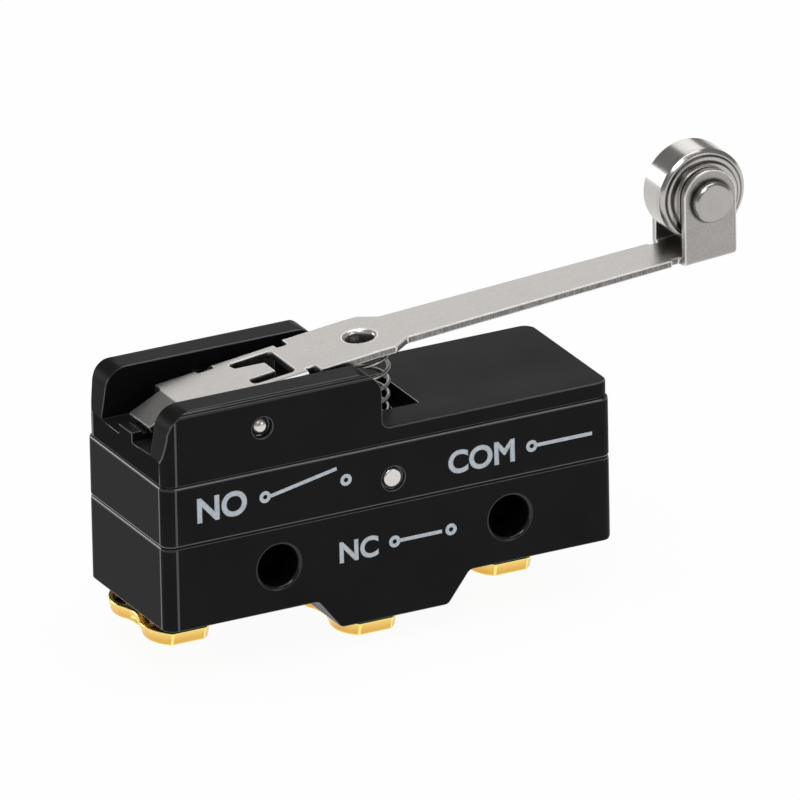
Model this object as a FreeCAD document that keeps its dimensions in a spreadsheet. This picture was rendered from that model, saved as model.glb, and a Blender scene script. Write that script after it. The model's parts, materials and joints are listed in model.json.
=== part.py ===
"""Snap-action lever switch: moulded body, folded lever with roller, blade mechanism and terminals.

The frame: the origin is midway between the two mounting holes, on their centre line and on the
body's mid-plane. +X runs along the body towards the roller, +Y runs along the holes towards the
back and +Z points up, away from the terminals.
"""
import FreeCAD, Part
import Sketcher
import math
import os
import re

MM = FreeCAD.Vector
RUNS_PER_TURN = 12      # straight runs of the spring's helix
WIRE_SIDES = 8          # flats round the spring's wire
MITRED = 1              # how a swept wire turns its corners

# Driving sizes in millimetres and degrees. "From the end" means from the left end of the body,
# where the lever is hinged, a rise is a height above the level named with it, and a reach is a
# distance from the hinge pin along the body.
SIZES = {
    # Body, lower and middle layer
    "case_length": 49.2,
    "case_width": 17.45,
    "lower_depth": 8.8,         # case bottom to the first seam
    "middle_depth": 6.35,       # first seam to the second
    "corner_round": 1.25,
    "foot_round": 0.7,          # edge under the right end
    "seam_bevel": 0.15,
    "hole_pitch": 25.4,
    "hole_dia": 4.36,
    "hole_shift": 0.4,          # middle of the holes, from the middle of the case
    "hole_height": 4.67,        # above the case bottom
    "hole_mouth": 0.25,         # chamfer of the hole's mouth
    "boss_offset": -0.15,       # terminal boss, from the middle of the holes
    "boss_root": 16.7,
    "boss_foot": 11.8,
    "boss_drop": 3.2,
    "boss_round": 0.8,
    "chamber_wall": 2.8,        # moulded wall round the switch chamber
    "chamber_end": 2.1,
    "chamber_sink": 1.0,        # floor of the chamber below the first seam
    "roof_rise": 3.3,           # roof of the chamber above the first seam
    "moulded_gap": 0.05,        # between a moulding and what sits in it
    "running_gap": 0.05,        # between a pin and what turns on it
    "contact_gap": 0.05,        # between moving pieces that meet at an end of their travel
    # Actuator housing
    "housing_inset": 0.17,
    "deck_rise": 1.65,          # above the second seam
    "wall_rise": 7.6,           # above the second seam
    "wall_end": 24.0,           # from the end
    "wall_thick": 3.2,
    "wall_left_round": 2.5,
    "wall_right_round": 2.3,
    "wall_foot_round": 0.9,
    "end_lean": 0.45,           # lean of the walls' left ends
    "channel_rise": 2.5,        # channel floor above the second seam
    "relief_depth": 0.5,        # pocket beside the lever's ears
    "relief_start": 10.3,       # from the end
    "relief_end": 22.0,
    "relief_drop": 1.5,         # below the wall top
    "stop_width": 2.9,
    "stop_lip": 1.15,
    "stop_run": 3.2,
    "stop_rise": 3.5,           # lip above the second seam
    "well_left": 4.7,           # from the middle of the spring
    "well_right": 4.2,
    "well_width": 8.4,
    "seat_depth": 1.25,         # round seat of the spring in the middle layer
    # Pins
    "pivot_from_end": 10.9,
    "pivot_rise": 4.42,         # above the second seam
    "pivot_dia": 1.76,
    "pin_mouth_dia": 2.2,
    "pin_mouth": 0.7,
    "pin_inset": 0.5,           # shoulder of the dome, from the housing's face
    "pin_dome": 0.45,
    "cover_pin_dia": 2.0,
    "cover_pin_mouth_dia": 2.5,
    "cover_pin_mouth": 0.4,
    "cover_pin_edge": 0.15,
    "cover_pin_inset": 0.12,
    "cover_pin_height": 2.6,    # above the first seam
    "cover_pin_offset": -0.02,  # from the middle of the holes
    "cover_boss_dia": 3.2,
    # Lever
    "lever_thick": 0.8,
    "lever_rise": 2.0,          # top of the plate above the pivot
    "plate_slope": 6.25,
    "arm_slope": 3.8,
    "tail_slope": 26.6,
    "tail_run": 3.55,
    "tail_width": 4.5,
    "fold_reach": 5.7,
    "plate_width": 7.3,
    "seat_width": 8.8,          # plate width over the spring
    "bend_reach": 15.1,
    "neck_start": 16.9,         # where the plate narrows to the arm
    "neck_end": 18.7,
    "arm_root_width": 6.2,
    "arm_end_width": 5.3,
    "ear_start": 0.5,           # root of the hinge ears
    "ear_end": 7.5,
    "ear_span": 8.6,            # over both hinge ears
    "ear_nose": 1.4,            # radius of the ear round the pin
    "ear_foot": 0.55,           # foot of the ear below the pivot, at its end
    "notch_left": 1.7,
    "notch_right": 1.1,
    "notch_half": 3.1,          # from the middle of the lever to the notch
    "bend_round": 0.7,
    "window_start": 2.0,
    "window_end": 6.6,
    "window_width": 5.8,
    "window_round": 0.55,
    "tongue_root": 3.3,
    "tongue_tip": 2.5,
    "tongue_reach": 5.2,
    "tongue_bend": 3.0,         # bend of the tongue below the plate
    "spring_reach": 15.0,
    "spring_hole_dia": 2.9,
    "spring_hole_edge": 0.25,
    "collar_dia": 3.9,
    "collar_depth": 0.7,
    # Clevis, roller and rivet
    "roller_reach": 52.2,
    "roller_rise": 11.79,
    "roller_dia": 9.5,
    "roller_width": 4.0,
    "roller_edge": 0.35,
    "hub_dia": 7.2,
    "hub_rise": 0.6,
    "hub_step_dia": 8.3,
    "hub_step": 0.2,
    "clevis_span": 7.05,
    "clevis_width": 5.8,
    "clevis_crown": 3.2,        # top of the ear above the rivet
    "clevis_notch": 0.95,
    "clevis_notch_half": 2.3,
    "rivet_dia": 2.9,
    "rivet_head_dia": 4.2,
    "rivet_head": 1.0,
    "rivet_edge": 0.25,
    # Return spring
    "spring_dia": 6.0,          # outside, at the bottom
    "spring_cone": 1.9,         # widening towards the top
    "wire_dia": 0.42,
    "spring_turns": 5.25,
    "spring_lead": 0.63,        # turn from the wire's lower end round to the roller's side
    # Plunger
    "press_reach": 5.0,
    "plunger_dia": 3.0,
    "plunger_tip_dia": 1.8,
    "plunger_collar_dia": 4.0,
    "plunger_collar": 0.8,
    "plunger_dome": 0.25,
    "plunger_travel": 0.56,
    # Blade and contacts
    "blade_thick": 0.22,
    "anchor_from_end": 40.0,
    "anchor_width": 6.0,
    "anchor_run": 3.0,
    "blade_start": 3.0,         # from the end
    "blade_head": 4.6,
    "blade_head_width": 5.8,
    "tension_width": 2.2,
    "bow_width": 1.3,
    "bow_offset": 1.5,
    "bow_end": 21.8,            # from the end
    "bow_rise": 1.15,
    "contact_from_end": 4.7,
    "contact_dia": 3.2,
    "contact_head": 0.7,
    "contact_edge": 0.2,
    "contact_shank_dia": 1.5,
    "blade_rivet_dia": 1.6,
    "blade_rivet_play": 0.15,
    "blade_rivet_head_dia": 2.8,
    "blade_rivet_head": 0.55,
    # Terminals
    "strip_thick": 1.0,
    "strip_width": 5.2,
    "strip_proud": 0.35,        # below the case bottom
    "strip_end": 0.9,           # from the end
    "strip_bend": 0.6,
    "saddle_thick": 0.5,
    "saddle_width": 6.4,
    "saddle_slit": 2.4,         # between the two tabs
    "saddle_tab": 2.2,
    "saddle_sill": 0.25,        # play of the bow's tip in its window
    "no_from_end": 3.36,
    "nc_from_end": 23.8,
    "com_from_end": 38.85,
    "com_fore": 3.25,
    "com_leg_inset": 4.6,       # from the right end
    "leg_wall": 1.7,            # moulding between a mounting hole and the strip beside it
    "riser_run": 2.0,
    "riser_play": 0.325,        # between the riser and the chamber's wall
    "nc_arm_width": 2.2,
    "arm_pad": 3.4,
    # Terminal cups and screws
    "cup_thick": 0.6,
    "cup_height": 1.45,
    "cup_lean": 0.4,
    "cup_front": 1.8,           # half the straight end
    "cup_half": 6.4,            # from the screw to the straight end
    "cup_bulge": 2.95,          # from the screw's line to where lobe and waist meet
    "cup_lobe": 0.65,           # how far a lobe's arc stands out
    "cup_waist": 0.6,           # how far the waist is drawn in
    "cup_waist_end": 2.34,      # from the screw to where lobe and waist meet
    "screw_dia": 3.0,
    "screw_head_dia": 5.0,
    "screw_head": 1.1,
    "screw_length": 4.2,
    "screw_room": 0.15,
    "screw_point": 0.3,
    "screw_slot": 0.8,
    "screw_slot_deep": 0.5,
}

# Places and levels that follow from the driving sizes.
LEVELS = {
    "left_end": "-case_length / 2 - hole_shift",
    "right_end": "case_length / 2 - hole_shift",
    "half_width": "case_width / 2",
    "base": "-hole_height",
    "seam_low": "base + lower_depth",
    "seam_top": "seam_low + middle_depth",
    "deck": "seam_top + deck_rise",
    "wall_top": "seam_top + wall_rise",
    "channel": "seam_top + channel_rise",
    "chamber_floor": "seam_low - chamber_sink",
    "chamber_roof": "seam_low + roof_rise",
    "boss_base": "base - boss_drop",
    "housing_left": "left_end + housing_inset",
    "housing_right": "right_end - housing_inset",
    "housing_half": "half_width - housing_inset",
    "channel_half": "housing_half - wall_thick",
    "wall_right": "left_end + wall_end",
    "pivot_x": "left_end + pivot_from_end",
    "pivot_z": "seam_top + pivot_rise",
    "cover_pin_z": "seam_low + cover_pin_height",
    "plate_tan": "tan(plate_slope * 1 deg)",
    "arm_tan": "tan(arm_slope * 1 deg)",
    "fold_x": "pivot_x - fold_reach",
    "fold_z": "pivot_z + lever_rise - fold_reach * plate_tan",
    "fold_turn": "(tail_slope - plate_slope) / 2",
    "fold_mean": "(tail_slope + plate_slope) / 2",
    "fold_miter": "lever_thick / cos(fold_turn * 1 deg)",
    "tail_x": "fold_x - tail_run",
    "tail_z": "fold_z - tail_run * tan(tail_slope * 1 deg)",
    "tail_low": "tail_z - lever_thick * cos(tail_slope * 1 deg)",
    "blank_width": "max(seat_width; ear_span; clevis_span; plate_width)",
    "bend_x": "pivot_x + bend_reach",
    "bend_z": "pivot_z + lever_rise + bend_reach * plate_tan",
    "roller_x": "pivot_x + roller_reach",
    "roller_z": "pivot_z + roller_rise",
    "clevis_x": "roller_x - clevis_width / 2",
    "clevis_z": "bend_z + (clevis_x - bend_x) * arm_tan",
    "arm_end_x": "roller_x + clevis_width / 2",
    "arm_end_z": "bend_z + (arm_end_x - bend_x) * arm_tan",
    "window_x": "pivot_x + window_start",
    "window_z": "pivot_z + lever_rise + window_start * plate_tan",
    "tongue_tan": "tan((plate_slope - tongue_bend) * 1 deg)",
    "tongue_x": "pivot_x + tongue_reach",
    "tongue_z": "window_z + (tongue_x - window_x) * tongue_tan",
    "spring_x": "pivot_x + spring_reach",
    "spring_z": "pivot_z + lever_rise + spring_reach * plate_tan",
    "spring_seat": "seam_top - seat_depth",
    "spring_low": "spring_seat + wire_dia / 2",
    "spring_high": "spring_z - lever_thick - spring_dia * plate_tan / 2 - wire_dia - contact_gap",
    "plunger_x": "pivot_x + press_reach",
    "plunger_top": "tongue_z - lever_thick - 1.5 * contact_gap",
    "saddle_top": "chamber_floor + saddle_thick",
    "foot_top": "saddle_top + strip_thick",
    "blade_low": "foot_top + 2 * contact_gap",
    "blade_top": "blade_low + blade_thick",
    "anchor_x": "left_end + anchor_from_end",
    "contact_x": "left_end + contact_from_end",
    "blade_gear": "plunger_travel / (anchor_x - plunger_x)",
    "no_top": "blade_low - contact_head - blade_gear * (anchor_x - contact_x) - 2 * contact_gap",
    "no_foot": "no_top - contact_head",
    "nc_low": "blade_top + contact_head + contact_gap",
    "nc_foot": "nc_low + contact_head",
    "bow_x": "left_end + bow_end",
    "bow_drop": "blade_gear * (anchor_x - bow_x)",
    "no_x": "left_end + no_from_end",
    "nc_x": "left_end + nc_from_end",
    "com_x": "left_end + com_from_end",
    "no_leg": "-hole_pitch / 2 - hole_dia / 2 - leg_wall",
    "com_leg": "right_end - com_leg_inset",
    "riser_x": "nc_x - strip_width / 2",
    "riser_out": "half_width - chamber_wall - riser_play",
    "cup_low": "-strip_proud - cup_height - cup_thick",
    "screw_tip": "cup_low + screw_length",
}

NAMES = re.compile(r"[A-Za-z_]\w*")
doc = FreeCAD.newDocument("LeverSwitch")
sheet = doc.addObject("Spreadsheet::Sheet", "Sizes")


def fill_sheet():
    """Writes every driving size and every level that follows from them, each with its alias."""
    for row, (name, size) in enumerate(SIZES.items(), start=1):
        sheet.set(f"A{row}", name)
        sheet.set(f"B{row}", str(size))
        sheet.setAlias(f"B{row}", name)
    for row, (name, formula) in enumerate(LEVELS.items(), start=1):
        sheet.set(f"C{row}", name)
        sheet.set(f"D{row}", "=" + formula)
        sheet.setAlias(f"D{row}", name)
    doc.recompute()


def tied(formula):
    """A formula as other objects read it: each name of the sheet gets the sheet's prefix."""
    def prefixed(match):
        word = match.group(0)
        return "Sizes." + word if word in SIZES or word in LEVELS else word
    return NAMES.sub(prefixed, formula)


def value(formula):
    """What a formula of the sheet's names comes to now."""
    result = sheet.evalExpression(formula)
    return float(getattr(result, "Value", result))


def new_body(name):
    body = doc.addObject("PartDesign::Body", name)
    body.Label = name
    return body


def place(item, along="0", across="0", up="0", turn=None):
    """Puts a sub-part at its place in the switch, with an optional fixed turn."""
    if turn is not None:
        item.Placement = FreeCAD.Placement(MM(), turn)
    for axis, formula in zip("xyz", (along, across, up)):
        item.setExpression(f"Placement.Base.{axis}", tied(formula))
    return item


def origin_plane(body, plane):
    return [item for item in body.Origin.OriginFeatures if item.Role == plane + "_Plane"][0]


def new_sketch(body, name, plane, level="0"):
    """A sketch parallel to one of the body's own origin planes, at a level along its normal."""
    sketch = body.newObject("Sketcher::SketchObject", name)
    sketch.AttachmentSupport = [(origin_plane(body, plane), "")]
    sketch.MapMode = "FlatFace"
    sketch.setExpression("AttachmentOffset.Base.z", tied(level))
    return sketch


def tie(sketch, constraint, formula):
    """Adds a constraint and ties its size to the sheet."""
    index = sketch.addConstraint(constraint)
    sketch.setExpression(f"Constraints[{index}]", tied(formula))


def tie_centre(sketch, edge, corner, following):
    """Fixes an arc between two tied corners by its centre's distance from one axis."""
    bulge = f"({corner[2]})"
    run = f"({following[0]} - ({corner[0]}))"
    rise = f"({following[1]} - ({corner[1]}))"
    chord = f"sqrt({run} * {run} + {rise} * {rise})"
    shift = f"({chord} / (8 * {bulge}) - {bulge} / (2 * {chord}))"
    if abs(value(rise)) > abs(value(run)):
        centre = f"({following[0]} + ({corner[0]})) / 2 - {rise} * {shift}"
        tie(sketch, Sketcher.Constraint("DistanceX", -1, 1, edge, 3, value(centre)), centre)
    else:
        centre = f"({following[1]} + ({corner[1]})) / 2 + {run} * {shift}"
        tie(sketch, Sketcher.Constraint("DistanceY", -1, 1, edge, 3, value(centre)), centre)


def outline(sketch, corners):
    """A closed outline, counterclockwise. A corner is (x, y), or (x, y, bulge) where the edge to
    the next corner is an arc that stands out by the bulge, or in where it is negative."""
    first = sketch.GeometryCount
    points = [MM(value(corner[0]), value(corner[1]), 0) for corner in corners]
    bulges = [value(corner[2]) if len(corner) == 3 else 0.0 for corner in corners]
    starts = [2 if bulge < 0 else 1 for bulge in bulges]
    ends = [1 if bulge < 0 else 2 for bulge in bulges]
    count = len(corners)
    for index in range(count):
        start = points[index]
        end = points[(index + 1) % count]
        if bulges[index] == 0.0:
            sketch.addGeometry(Part.LineSegment(start, end), False)
            continue
        chord = end - start
        out = MM(chord.y, -chord.x, 0).normalize() * bulges[index]
        sketch.addGeometry(Part.Arc(start, (start + end) * 0.5 + out, end), False)
    for index in range(count):
        edge = first + index
        sketch.addConstraint(Sketcher.Constraint(
            "Coincident", first + (index - 1) % count, ends[index - 1], edge, starts[index]))
    for index, corner in enumerate(corners):
        edge = first + index
        spot = points[index]
        tie(sketch, Sketcher.Constraint("DistanceX", -1, 1, edge, starts[index], spot.x), corner[0])
        tie(sketch, Sketcher.Constraint("DistanceY", -1, 1, edge, starts[index], spot.y), corner[1])
        if bulges[index] != 0.0:
            tie_centre(sketch, edge, corner, corners[(index + 1) % count])


def rectangle(sketch, left, right, low, high):
    outline(sketch, [(left, low), (right, low), (right, high), (left, high)])


def quarter(radius):
    """The bulge of a quarter-circle arc across a corner."""
    return f"(1 - sqrt(0.5)) * {radius}"


def inward(radius):
    """The same for an arc that fills an inner corner."""
    return f"(sqrt(0.5) - 1) * {radius}"


def rounded(sketch, left, right, low, high, radius):
    """A rectangle with rounded corners."""
    bulge = quarter(radius)
    outline(sketch, [
        (f"{left} + {radius}", low),
        (f"{right} - {radius}", low, bulge),
        (right, f"{low} + {radius}"),
        (right, f"{high} - {radius}", bulge),
        (f"{right} - {radius}", high),
        (f"{left} + {radius}", high, bulge),
        (left, f"{high} - {radius}"),
        (left, f"{low} + {radius}", bulge),
    ])


def circle(sketch, across, up, radius):
    spot = MM(value(across), value(up), 0)
    edge = sketch.addGeometry(Part.Circle(spot, MM(0, 0, 1), value(radius)), False)
    tie(sketch, Sketcher.Constraint("DistanceX", -1, 1, edge, 3, spot.x), across)
    tie(sketch, Sketcher.Constraint("DistanceY", -1, 1, edge, 3, spot.y), up)
    tie(sketch, Sketcher.Constraint("Radius", edge, value(radius)), radius)


def both_sides(stations):
    """An outline symmetrical about the middle line, from (x, half width) stations."""
    low = [(x, f"-({half})") for x, half in stations]
    high = [(x, half) for x, half in reversed(stations)]
    return low + high


def extrude(kind, body, sketch, name, length, both, back):
    feature = body.newObject("PartDesign::" + kind, name)
    feature.Profile = sketch
    feature.SideType = "Symmetric" if both else "One side"
    feature.Reversed = back
    if length is None:
        feature.Type = "ThroughAll"
    else:
        feature.setExpression("Length", tied(length))
    return feature


def pad(body, sketch, name, length, both=False, back=False):
    """Pads a sketch along its normal, the other way (back) or both ways."""
    doc.recompute()
    return extrude("Pad", body, sketch, name, length, both, back)


def pocket(body, sketch, name, length=None, both=False, back=False):
    """Cuts a sketch against its normal, the other way (back) or both ways; it must cut something."""
    doc.recompute()
    before = body.Shape.Volume
    feature = extrude("Pocket", body, sketch, name, length, both, back)
    doc.recompute()
    if body.Shape.Volume > before - 1e-4:
        raise RuntimeError(f"{body.Label}: {name} cuts nothing")
    return feature


def revolve(body, sketch, name, kind="Revolution"):
    """Turns the sketch of a half section once round the sketch's upright axis."""
    feature = body.newObject("PartDesign::" + kind, name)
    feature.Profile = sketch
    feature.ReferenceAxis = (sketch, ["V_Axis"])
    feature.Angle = 360
    return feature


def mirror(body, originals, name, plane="XZ"):
    feature = body.newObject("PartDesign::Mirrored", name)
    feature.Originals = originals
    feature.MirrorPlane = (origin_plane(body, plane), [""])
    body.Tip = feature
    return feature


def dress(kind, body, name, size, rule):
    """A Fillet or a Chamfer of the edges that a rule picks by their place."""
    doc.recompute()
    base = body.Tip
    chosen = [f"Edge{number}" for number, edge in enumerate(base.Shape.Edges, start=1) if rule(edge)]
    if not chosen:
        raise RuntimeError(f"{body.Label}: {name} finds no edge")
    feature = body.newObject("PartDesign::" + kind, name)
    feature.Base = (base, chosen)
    feature.setExpression("Radius" if kind == "Fillet" else "Size", tied(size))
    return feature


def near(first, second):
    return abs(first - second) < 1e-4


def runs(edge, axis):
    """Whether an edge is straight and runs along the named axis."""
    return edge.Curve.TypeId == "Part::GeomLine" and near(abs(getattr(edge.Curve.Direction, axis)), 1.0)


def middle(edge):
    return edge.BoundBox.Center


def flat_at(edge, level):
    """Whether an edge lies all in the horizontal plane at a level."""
    return near(edge.BoundBox.ZMin, level) and near(edge.BoundBox.ZMax, level)


def on_rim(edge, level):
    """Whether an edge is on the outer rim of a layer of the body, at a level."""
    box = edge.BoundBox
    reaches = near(box.XMin, value("left_end")) or near(box.XMax, value("right_end"))
    reaches = reaches or near(max(abs(box.YMin), abs(box.YMax)), value("half_width"))
    return flat_at(edge, level) and reaches


def trim_to_plan(body, name, left, right, half_wide, level):
    """Rounds the four upright corners by cutting all that lies outside the rounded plan."""
    plan = new_sketch(body, name + "_plan", "XY", level)
    margin = "corner_round"
    rectangle(plan, f"{left} - {margin}", f"{right} + {margin}",
              f"-({half_wide}) - {margin}", f"{half_wide} + {margin}")
    rounded(plan, left, right, f"-({half_wide})", half_wide, "corner_round")
    pocket(body, plan, name)


def lower_case():
    """The moulded base: mounting holes, terminal boss and the lower half of the chamber."""
    body = new_body("lower_case")
    front = new_sketch(body, "base_front", "XZ")
    outline(front, [
        ("left_end", "base"),
        ("boss_offset - boss_root / 2", "base"),
        ("boss_offset - boss_foot / 2", "boss_base"),
        ("boss_offset + boss_foot / 2", "boss_base"),
        ("boss_offset + boss_root / 2", "base"),
        ("right_end - foot_round", "base", quarter("foot_round")),
        ("right_end", "base + foot_round"),
        ("right_end", "seam_low"),
        ("left_end", "seam_low"),
    ])
    pad(body, front, "base_block", "case_width", both=True)
    base = value("base")
    boss_base = value("boss_base")
    boss_root = (value("boss_offset - boss_root / 2"), value("boss_offset + boss_root / 2"))
    dress("Fillet", body, "boss_edges", "boss_round",
          lambda edge: runs(edge, "y") and (near(middle(edge).z, boss_base) or (
              near(middle(edge).z, base) and any(near(middle(edge).x, root) for root in boss_root))))
    trim_to_plan(body, "base_corners", "left_end", "right_end", "half_width", "seam_low")
    half_wide = value("half_width")
    seam = value("seam_low")
    dress("Chamfer", body, "base_bevel", "seam_bevel", lambda edge: on_rim(edge, seam))
    holes = new_sketch(body, "hole_places", "XZ")
    circle(holes, "-hole_pitch / 2", "0", "hole_dia / 2")
    circle(holes, "hole_pitch / 2", "0", "hole_dia / 2")
    pocket(body, holes, "mounting_holes", both=True)
    dress("Chamfer", body, "hole_mouths", "hole_mouth",
          lambda edge: edge.Curve.TypeId == "Part::GeomCircle" and near(middle(edge).z, 0.0)
          and near(abs(middle(edge).y), half_wide))
    chamber = new_sketch(body, "chamber_plan", "XY", "seam_low")
    rectangle(chamber, "left_end + chamber_end", "right_end - chamber_end",
              "chamber_wall - half_width", "half_width - chamber_wall")
    pocket(body, chamber, "chamber", "chamber_sink")
    slot_low = "-strip_width / 2 - moulded_gap"
    slot_high = "strip_width / 2 + moulded_gap"
    well = new_sketch(body, "contact_well_plan", "XY", "chamber_floor")
    rectangle(well, "left_end + chamber_end", "no_leg + moulded_gap", slot_low, slot_high)
    pocket(body, well, "contact_well", "chamber_floor - no_foot + strip_thick")
    seats = new_sketch(body, "strip_seats", "XY", "base")
    rectangle(seats, "left_end + strip_end - moulded_gap", "no_leg + moulded_gap", slot_low, slot_high)
    rectangle(seats, "com_x - com_fore - moulded_gap", "com_leg + moulded_gap", slot_low, slot_high)
    pocket(body, seats, "strip_seat_cuts", "strip_thick - strip_proud", back=True)
    boss_seat = new_sketch(body, "boss_seat_plan", "XY", "boss_base")
    outline(boss_seat, [
        ("riser_x - moulded_gap", slot_low),
        ("nc_x + strip_width / 2 + moulded_gap", slot_low),
        ("nc_x + strip_width / 2 + moulded_gap", slot_high),
        ("riser_x + riser_run + moulded_gap", slot_high),
        ("riser_x + riser_run + moulded_gap", "riser_out + moulded_gap"),
        ("riser_x - moulded_gap", "riser_out + moulded_gap"),
    ])
    pocket(body, boss_seat, "boss_seat", "strip_thick - strip_proud", back=True)
    legs = new_sketch(body, "leg_slot_plan", "XY", "chamber_floor")
    rectangle(legs, "no_leg - strip_thick - moulded_gap", "no_leg + moulded_gap", slot_low, slot_high)
    rectangle(legs, "com_leg - strip_thick - moulded_gap", "com_leg + moulded_gap", slot_low, slot_high)
    pocket(body, legs, "leg_slots", "chamber_floor - base")
    riser = new_sketch(body, "riser_slot_plan", "XY", "chamber_floor")
    rectangle(riser, "riser_x - moulded_gap", "riser_x + riser_run + moulded_gap",
              "riser_out - strip_thick - moulded_gap", "riser_out + moulded_gap")
    pocket(body, riser, "riser_slot", "chamber_floor - boss_base")
    tips = new_sketch(body, "screw_tip_plan", "XY", "base")
    circle(tips, "no_x", "0", "screw_dia / 2 + moulded_gap")
    circle(tips, "com_x", "0", "screw_dia / 2 + moulded_gap")
    pocket(body, tips, "screw_tips", "screw_tip + screw_room", back=True)
    tip = new_sketch(body, "boss_tip_plan", "XY", "boss_base")
    circle(tip, "nc_x", "0", "screw_dia / 2 + moulded_gap")
    pocket(body, tip, "boss_tip", "screw_tip + screw_room", back=True)
    tail = new_sketch(body, "rivet_room_plan", "XY", "chamber_floor")
    circle(tail, "anchor_x", "0", "blade_rivet_head_dia / 2 + moulded_gap")
    pocket(body, tail, "rivet_room", "blade_rivet_head + moulded_gap")
    return body


def middle_case():
    """The moulded cover of the chamber: its roof, the plunger's bore and the spring's seat."""
    body = new_body("middle_case")
    front = new_sketch(body, "cover_front", "XZ")
    rectangle(front, "left_end", "right_end", "seam_low", "seam_top")
    pad(body, front, "cover_block", "case_width", both=True)
    trim_to_plan(body, "cover_corners", "left_end", "right_end", "half_width", "seam_top")
    seams = (value("seam_low"), value("seam_top"))
    dress("Chamfer", body, "cover_bevels", "seam_bevel",
          lambda edge: any(on_rim(edge, seam) for seam in seams))
    chamber = new_sketch(body, "roof_plan", "XY", "seam_low")
    rectangle(chamber, "left_end + chamber_end", "right_end - chamber_end",
              "chamber_wall - half_width", "half_width - chamber_wall")
    pocket(body, chamber, "roof", "roof_rise", back=True)
    boss = new_sketch(body, "pin_boss_side", "XZ")
    circle(boss, "cover_pin_offset", "cover_pin_z", "cover_boss_dia / 2")
    pad(body, boss, "pin_boss", "case_width - 2 * chamber_wall", both=True)
    hole = new_sketch(body, "cover_pin_place", "XZ")
    circle(hole, "cover_pin_offset", "cover_pin_z", "cover_pin_dia / 2")
    pocket(body, hole, "cover_pin_hole", both=True)
    mouth = new_sketch(body, "cover_pin_mouth_place", "XZ", "half_width")
    circle(mouth, "cover_pin_offset", "cover_pin_z", "cover_pin_mouth_dia / 2")
    ring = pocket(body, mouth, "cover_pin_ring", "cover_pin_mouth")
    mirror(body, [ring], "cover_pin_rings")
    bore = new_sketch(body, "plunger_bore_place", "XY", "seam_top")
    circle(bore, "plunger_x", "0", "plunger_dia / 2 + running_gap")
    pocket(body, bore, "plunger_bore", "seam_top - chamber_roof")
    seat = new_sketch(body, "spring_seat_place", "XY", "seam_top")
    circle(seat, "spring_x", "0", "spring_dia / 2 + 2 * running_gap")
    pocket(body, seat, "spring_seat_cut", "seat_depth")
    return body


def top_housing():
    """The moulded actuator housing: deck, two walls, channel, stop for the tail and spring well."""
    body = new_body("top_housing")
    front = new_sketch(body, "housing_front", "XZ")
    outline(front, [
        ("housing_left", "seam_top"),
        ("housing_right", "seam_top"),
        ("housing_right", "deck"),
        ("wall_right + wall_foot_round", "deck", inward("wall_foot_round")),
        ("wall_right", "deck + wall_foot_round"),
        ("wall_right", "wall_top - wall_right_round", quarter("wall_right_round")),
        ("wall_right - wall_right_round", "wall_top"),
        ("housing_left + end_lean + wall_left_round", "wall_top", quarter("wall_left_round")),
        ("housing_left + end_lean", "wall_top - wall_left_round"),
        ("housing_left", "channel"),
    ])
    pad(body, front, "housing_block", "2 * housing_half", both=True)
    trim_to_plan(body, "housing_corners", "housing_left", "housing_right", "housing_half", "wall_top")
    channel = new_sketch(body, "channel_plan", "XY", "wall_top")
    rectangle(channel, "left_end - wall_thick", "wall_right + wall_foot_round",
              "-channel_half", "channel_half")
    pocket(body, channel, "channel_cut", "wall_top - channel")
    throat = new_sketch(body, "throat_plan", "XY", "channel")
    rectangle(throat, "spring_x - well_left", "wall_right + wall_foot_round",
              "-channel_half", "channel_half")
    pocket(body, throat, "throat", "channel - deck")
    well = new_sketch(body, "well_plan", "XY", "deck")
    rectangle(well, "spring_x - well_left", "spring_x + well_right", "-well_width / 2", "well_width / 2")
    pocket(body, well, "spring_well", "deck_rise")
    relief = new_sketch(body, "relief_side", "XZ")
    rectangle(relief, "left_end + relief_start", "left_end + relief_end",
              "channel", "wall_top - relief_drop")
    pocket(body, relief, "ear_reliefs", "2 * (channel_half + relief_depth)", both=True)
    pin = new_sketch(body, "pivot_place", "XZ")
    circle(pin, "pivot_x", "pivot_z", "pivot_dia / 2")
    pocket(body, pin, "pivot_holes", both=True)
    mouth = new_sketch(body, "pivot_mouth_place", "XZ", "housing_half")
    circle(mouth, "pivot_x", "pivot_z", "pin_mouth_dia / 2")
    ring = pocket(body, mouth, "pivot_mouth", "pin_mouth")
    mirror(body, [ring], "pivot_mouths")
    bore = new_sketch(body, "plunger_hole_place", "XY", "channel")
    circle(bore, "plunger_x", "0", "plunger_dia / 2 + running_gap")
    pocket(body, bore, "plunger_hole", "channel_rise")
    stop = new_sketch(body, "stop_side", "XZ")
    ledge = "tail_low - contact_gap"
    outline(stop, [
        ("housing_left", "channel"),
        ("housing_left + stop_run", "channel"),
        ("housing_left + stop_run", ledge),
        ("housing_left + stop_lip", ledge),
        ("housing_left + stop_lip", "seam_top + stop_rise"),
        ("housing_left", "seam_top + stop_rise"),
    ])
    pad(body, stop, "tail_stop", "stop_width", both=True)
    return body


def pin_across(name, along, up):
    """A body that is drawn upright and laid along the holes' direction at a place in the side view."""
    return place(new_body(name), along, "0", up, FreeCAD.Rotation(MM(1, 0, 0), -90))


def pivot_pin():
    body = pin_across("pivot_pin", "pivot_x", "pivot_z")
    section = new_sketch(body, "pin_section", "XZ")
    shoulder = "housing_half - pin_inset"
    outline(section, [
        ("0", f"-({shoulder}) - pin_dome"),
        ("pivot_dia / 4", f"-({shoulder}) - 0.75 * pin_dome"),
        ("pivot_dia / 2", f"-({shoulder})"),
        ("pivot_dia / 2", shoulder),
        ("pivot_dia / 4", f"{shoulder} + 0.75 * pin_dome"),
        ("0", f"{shoulder} + pin_dome"),
    ])
    revolve(body, section, "pin_turned")
    return body


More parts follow.
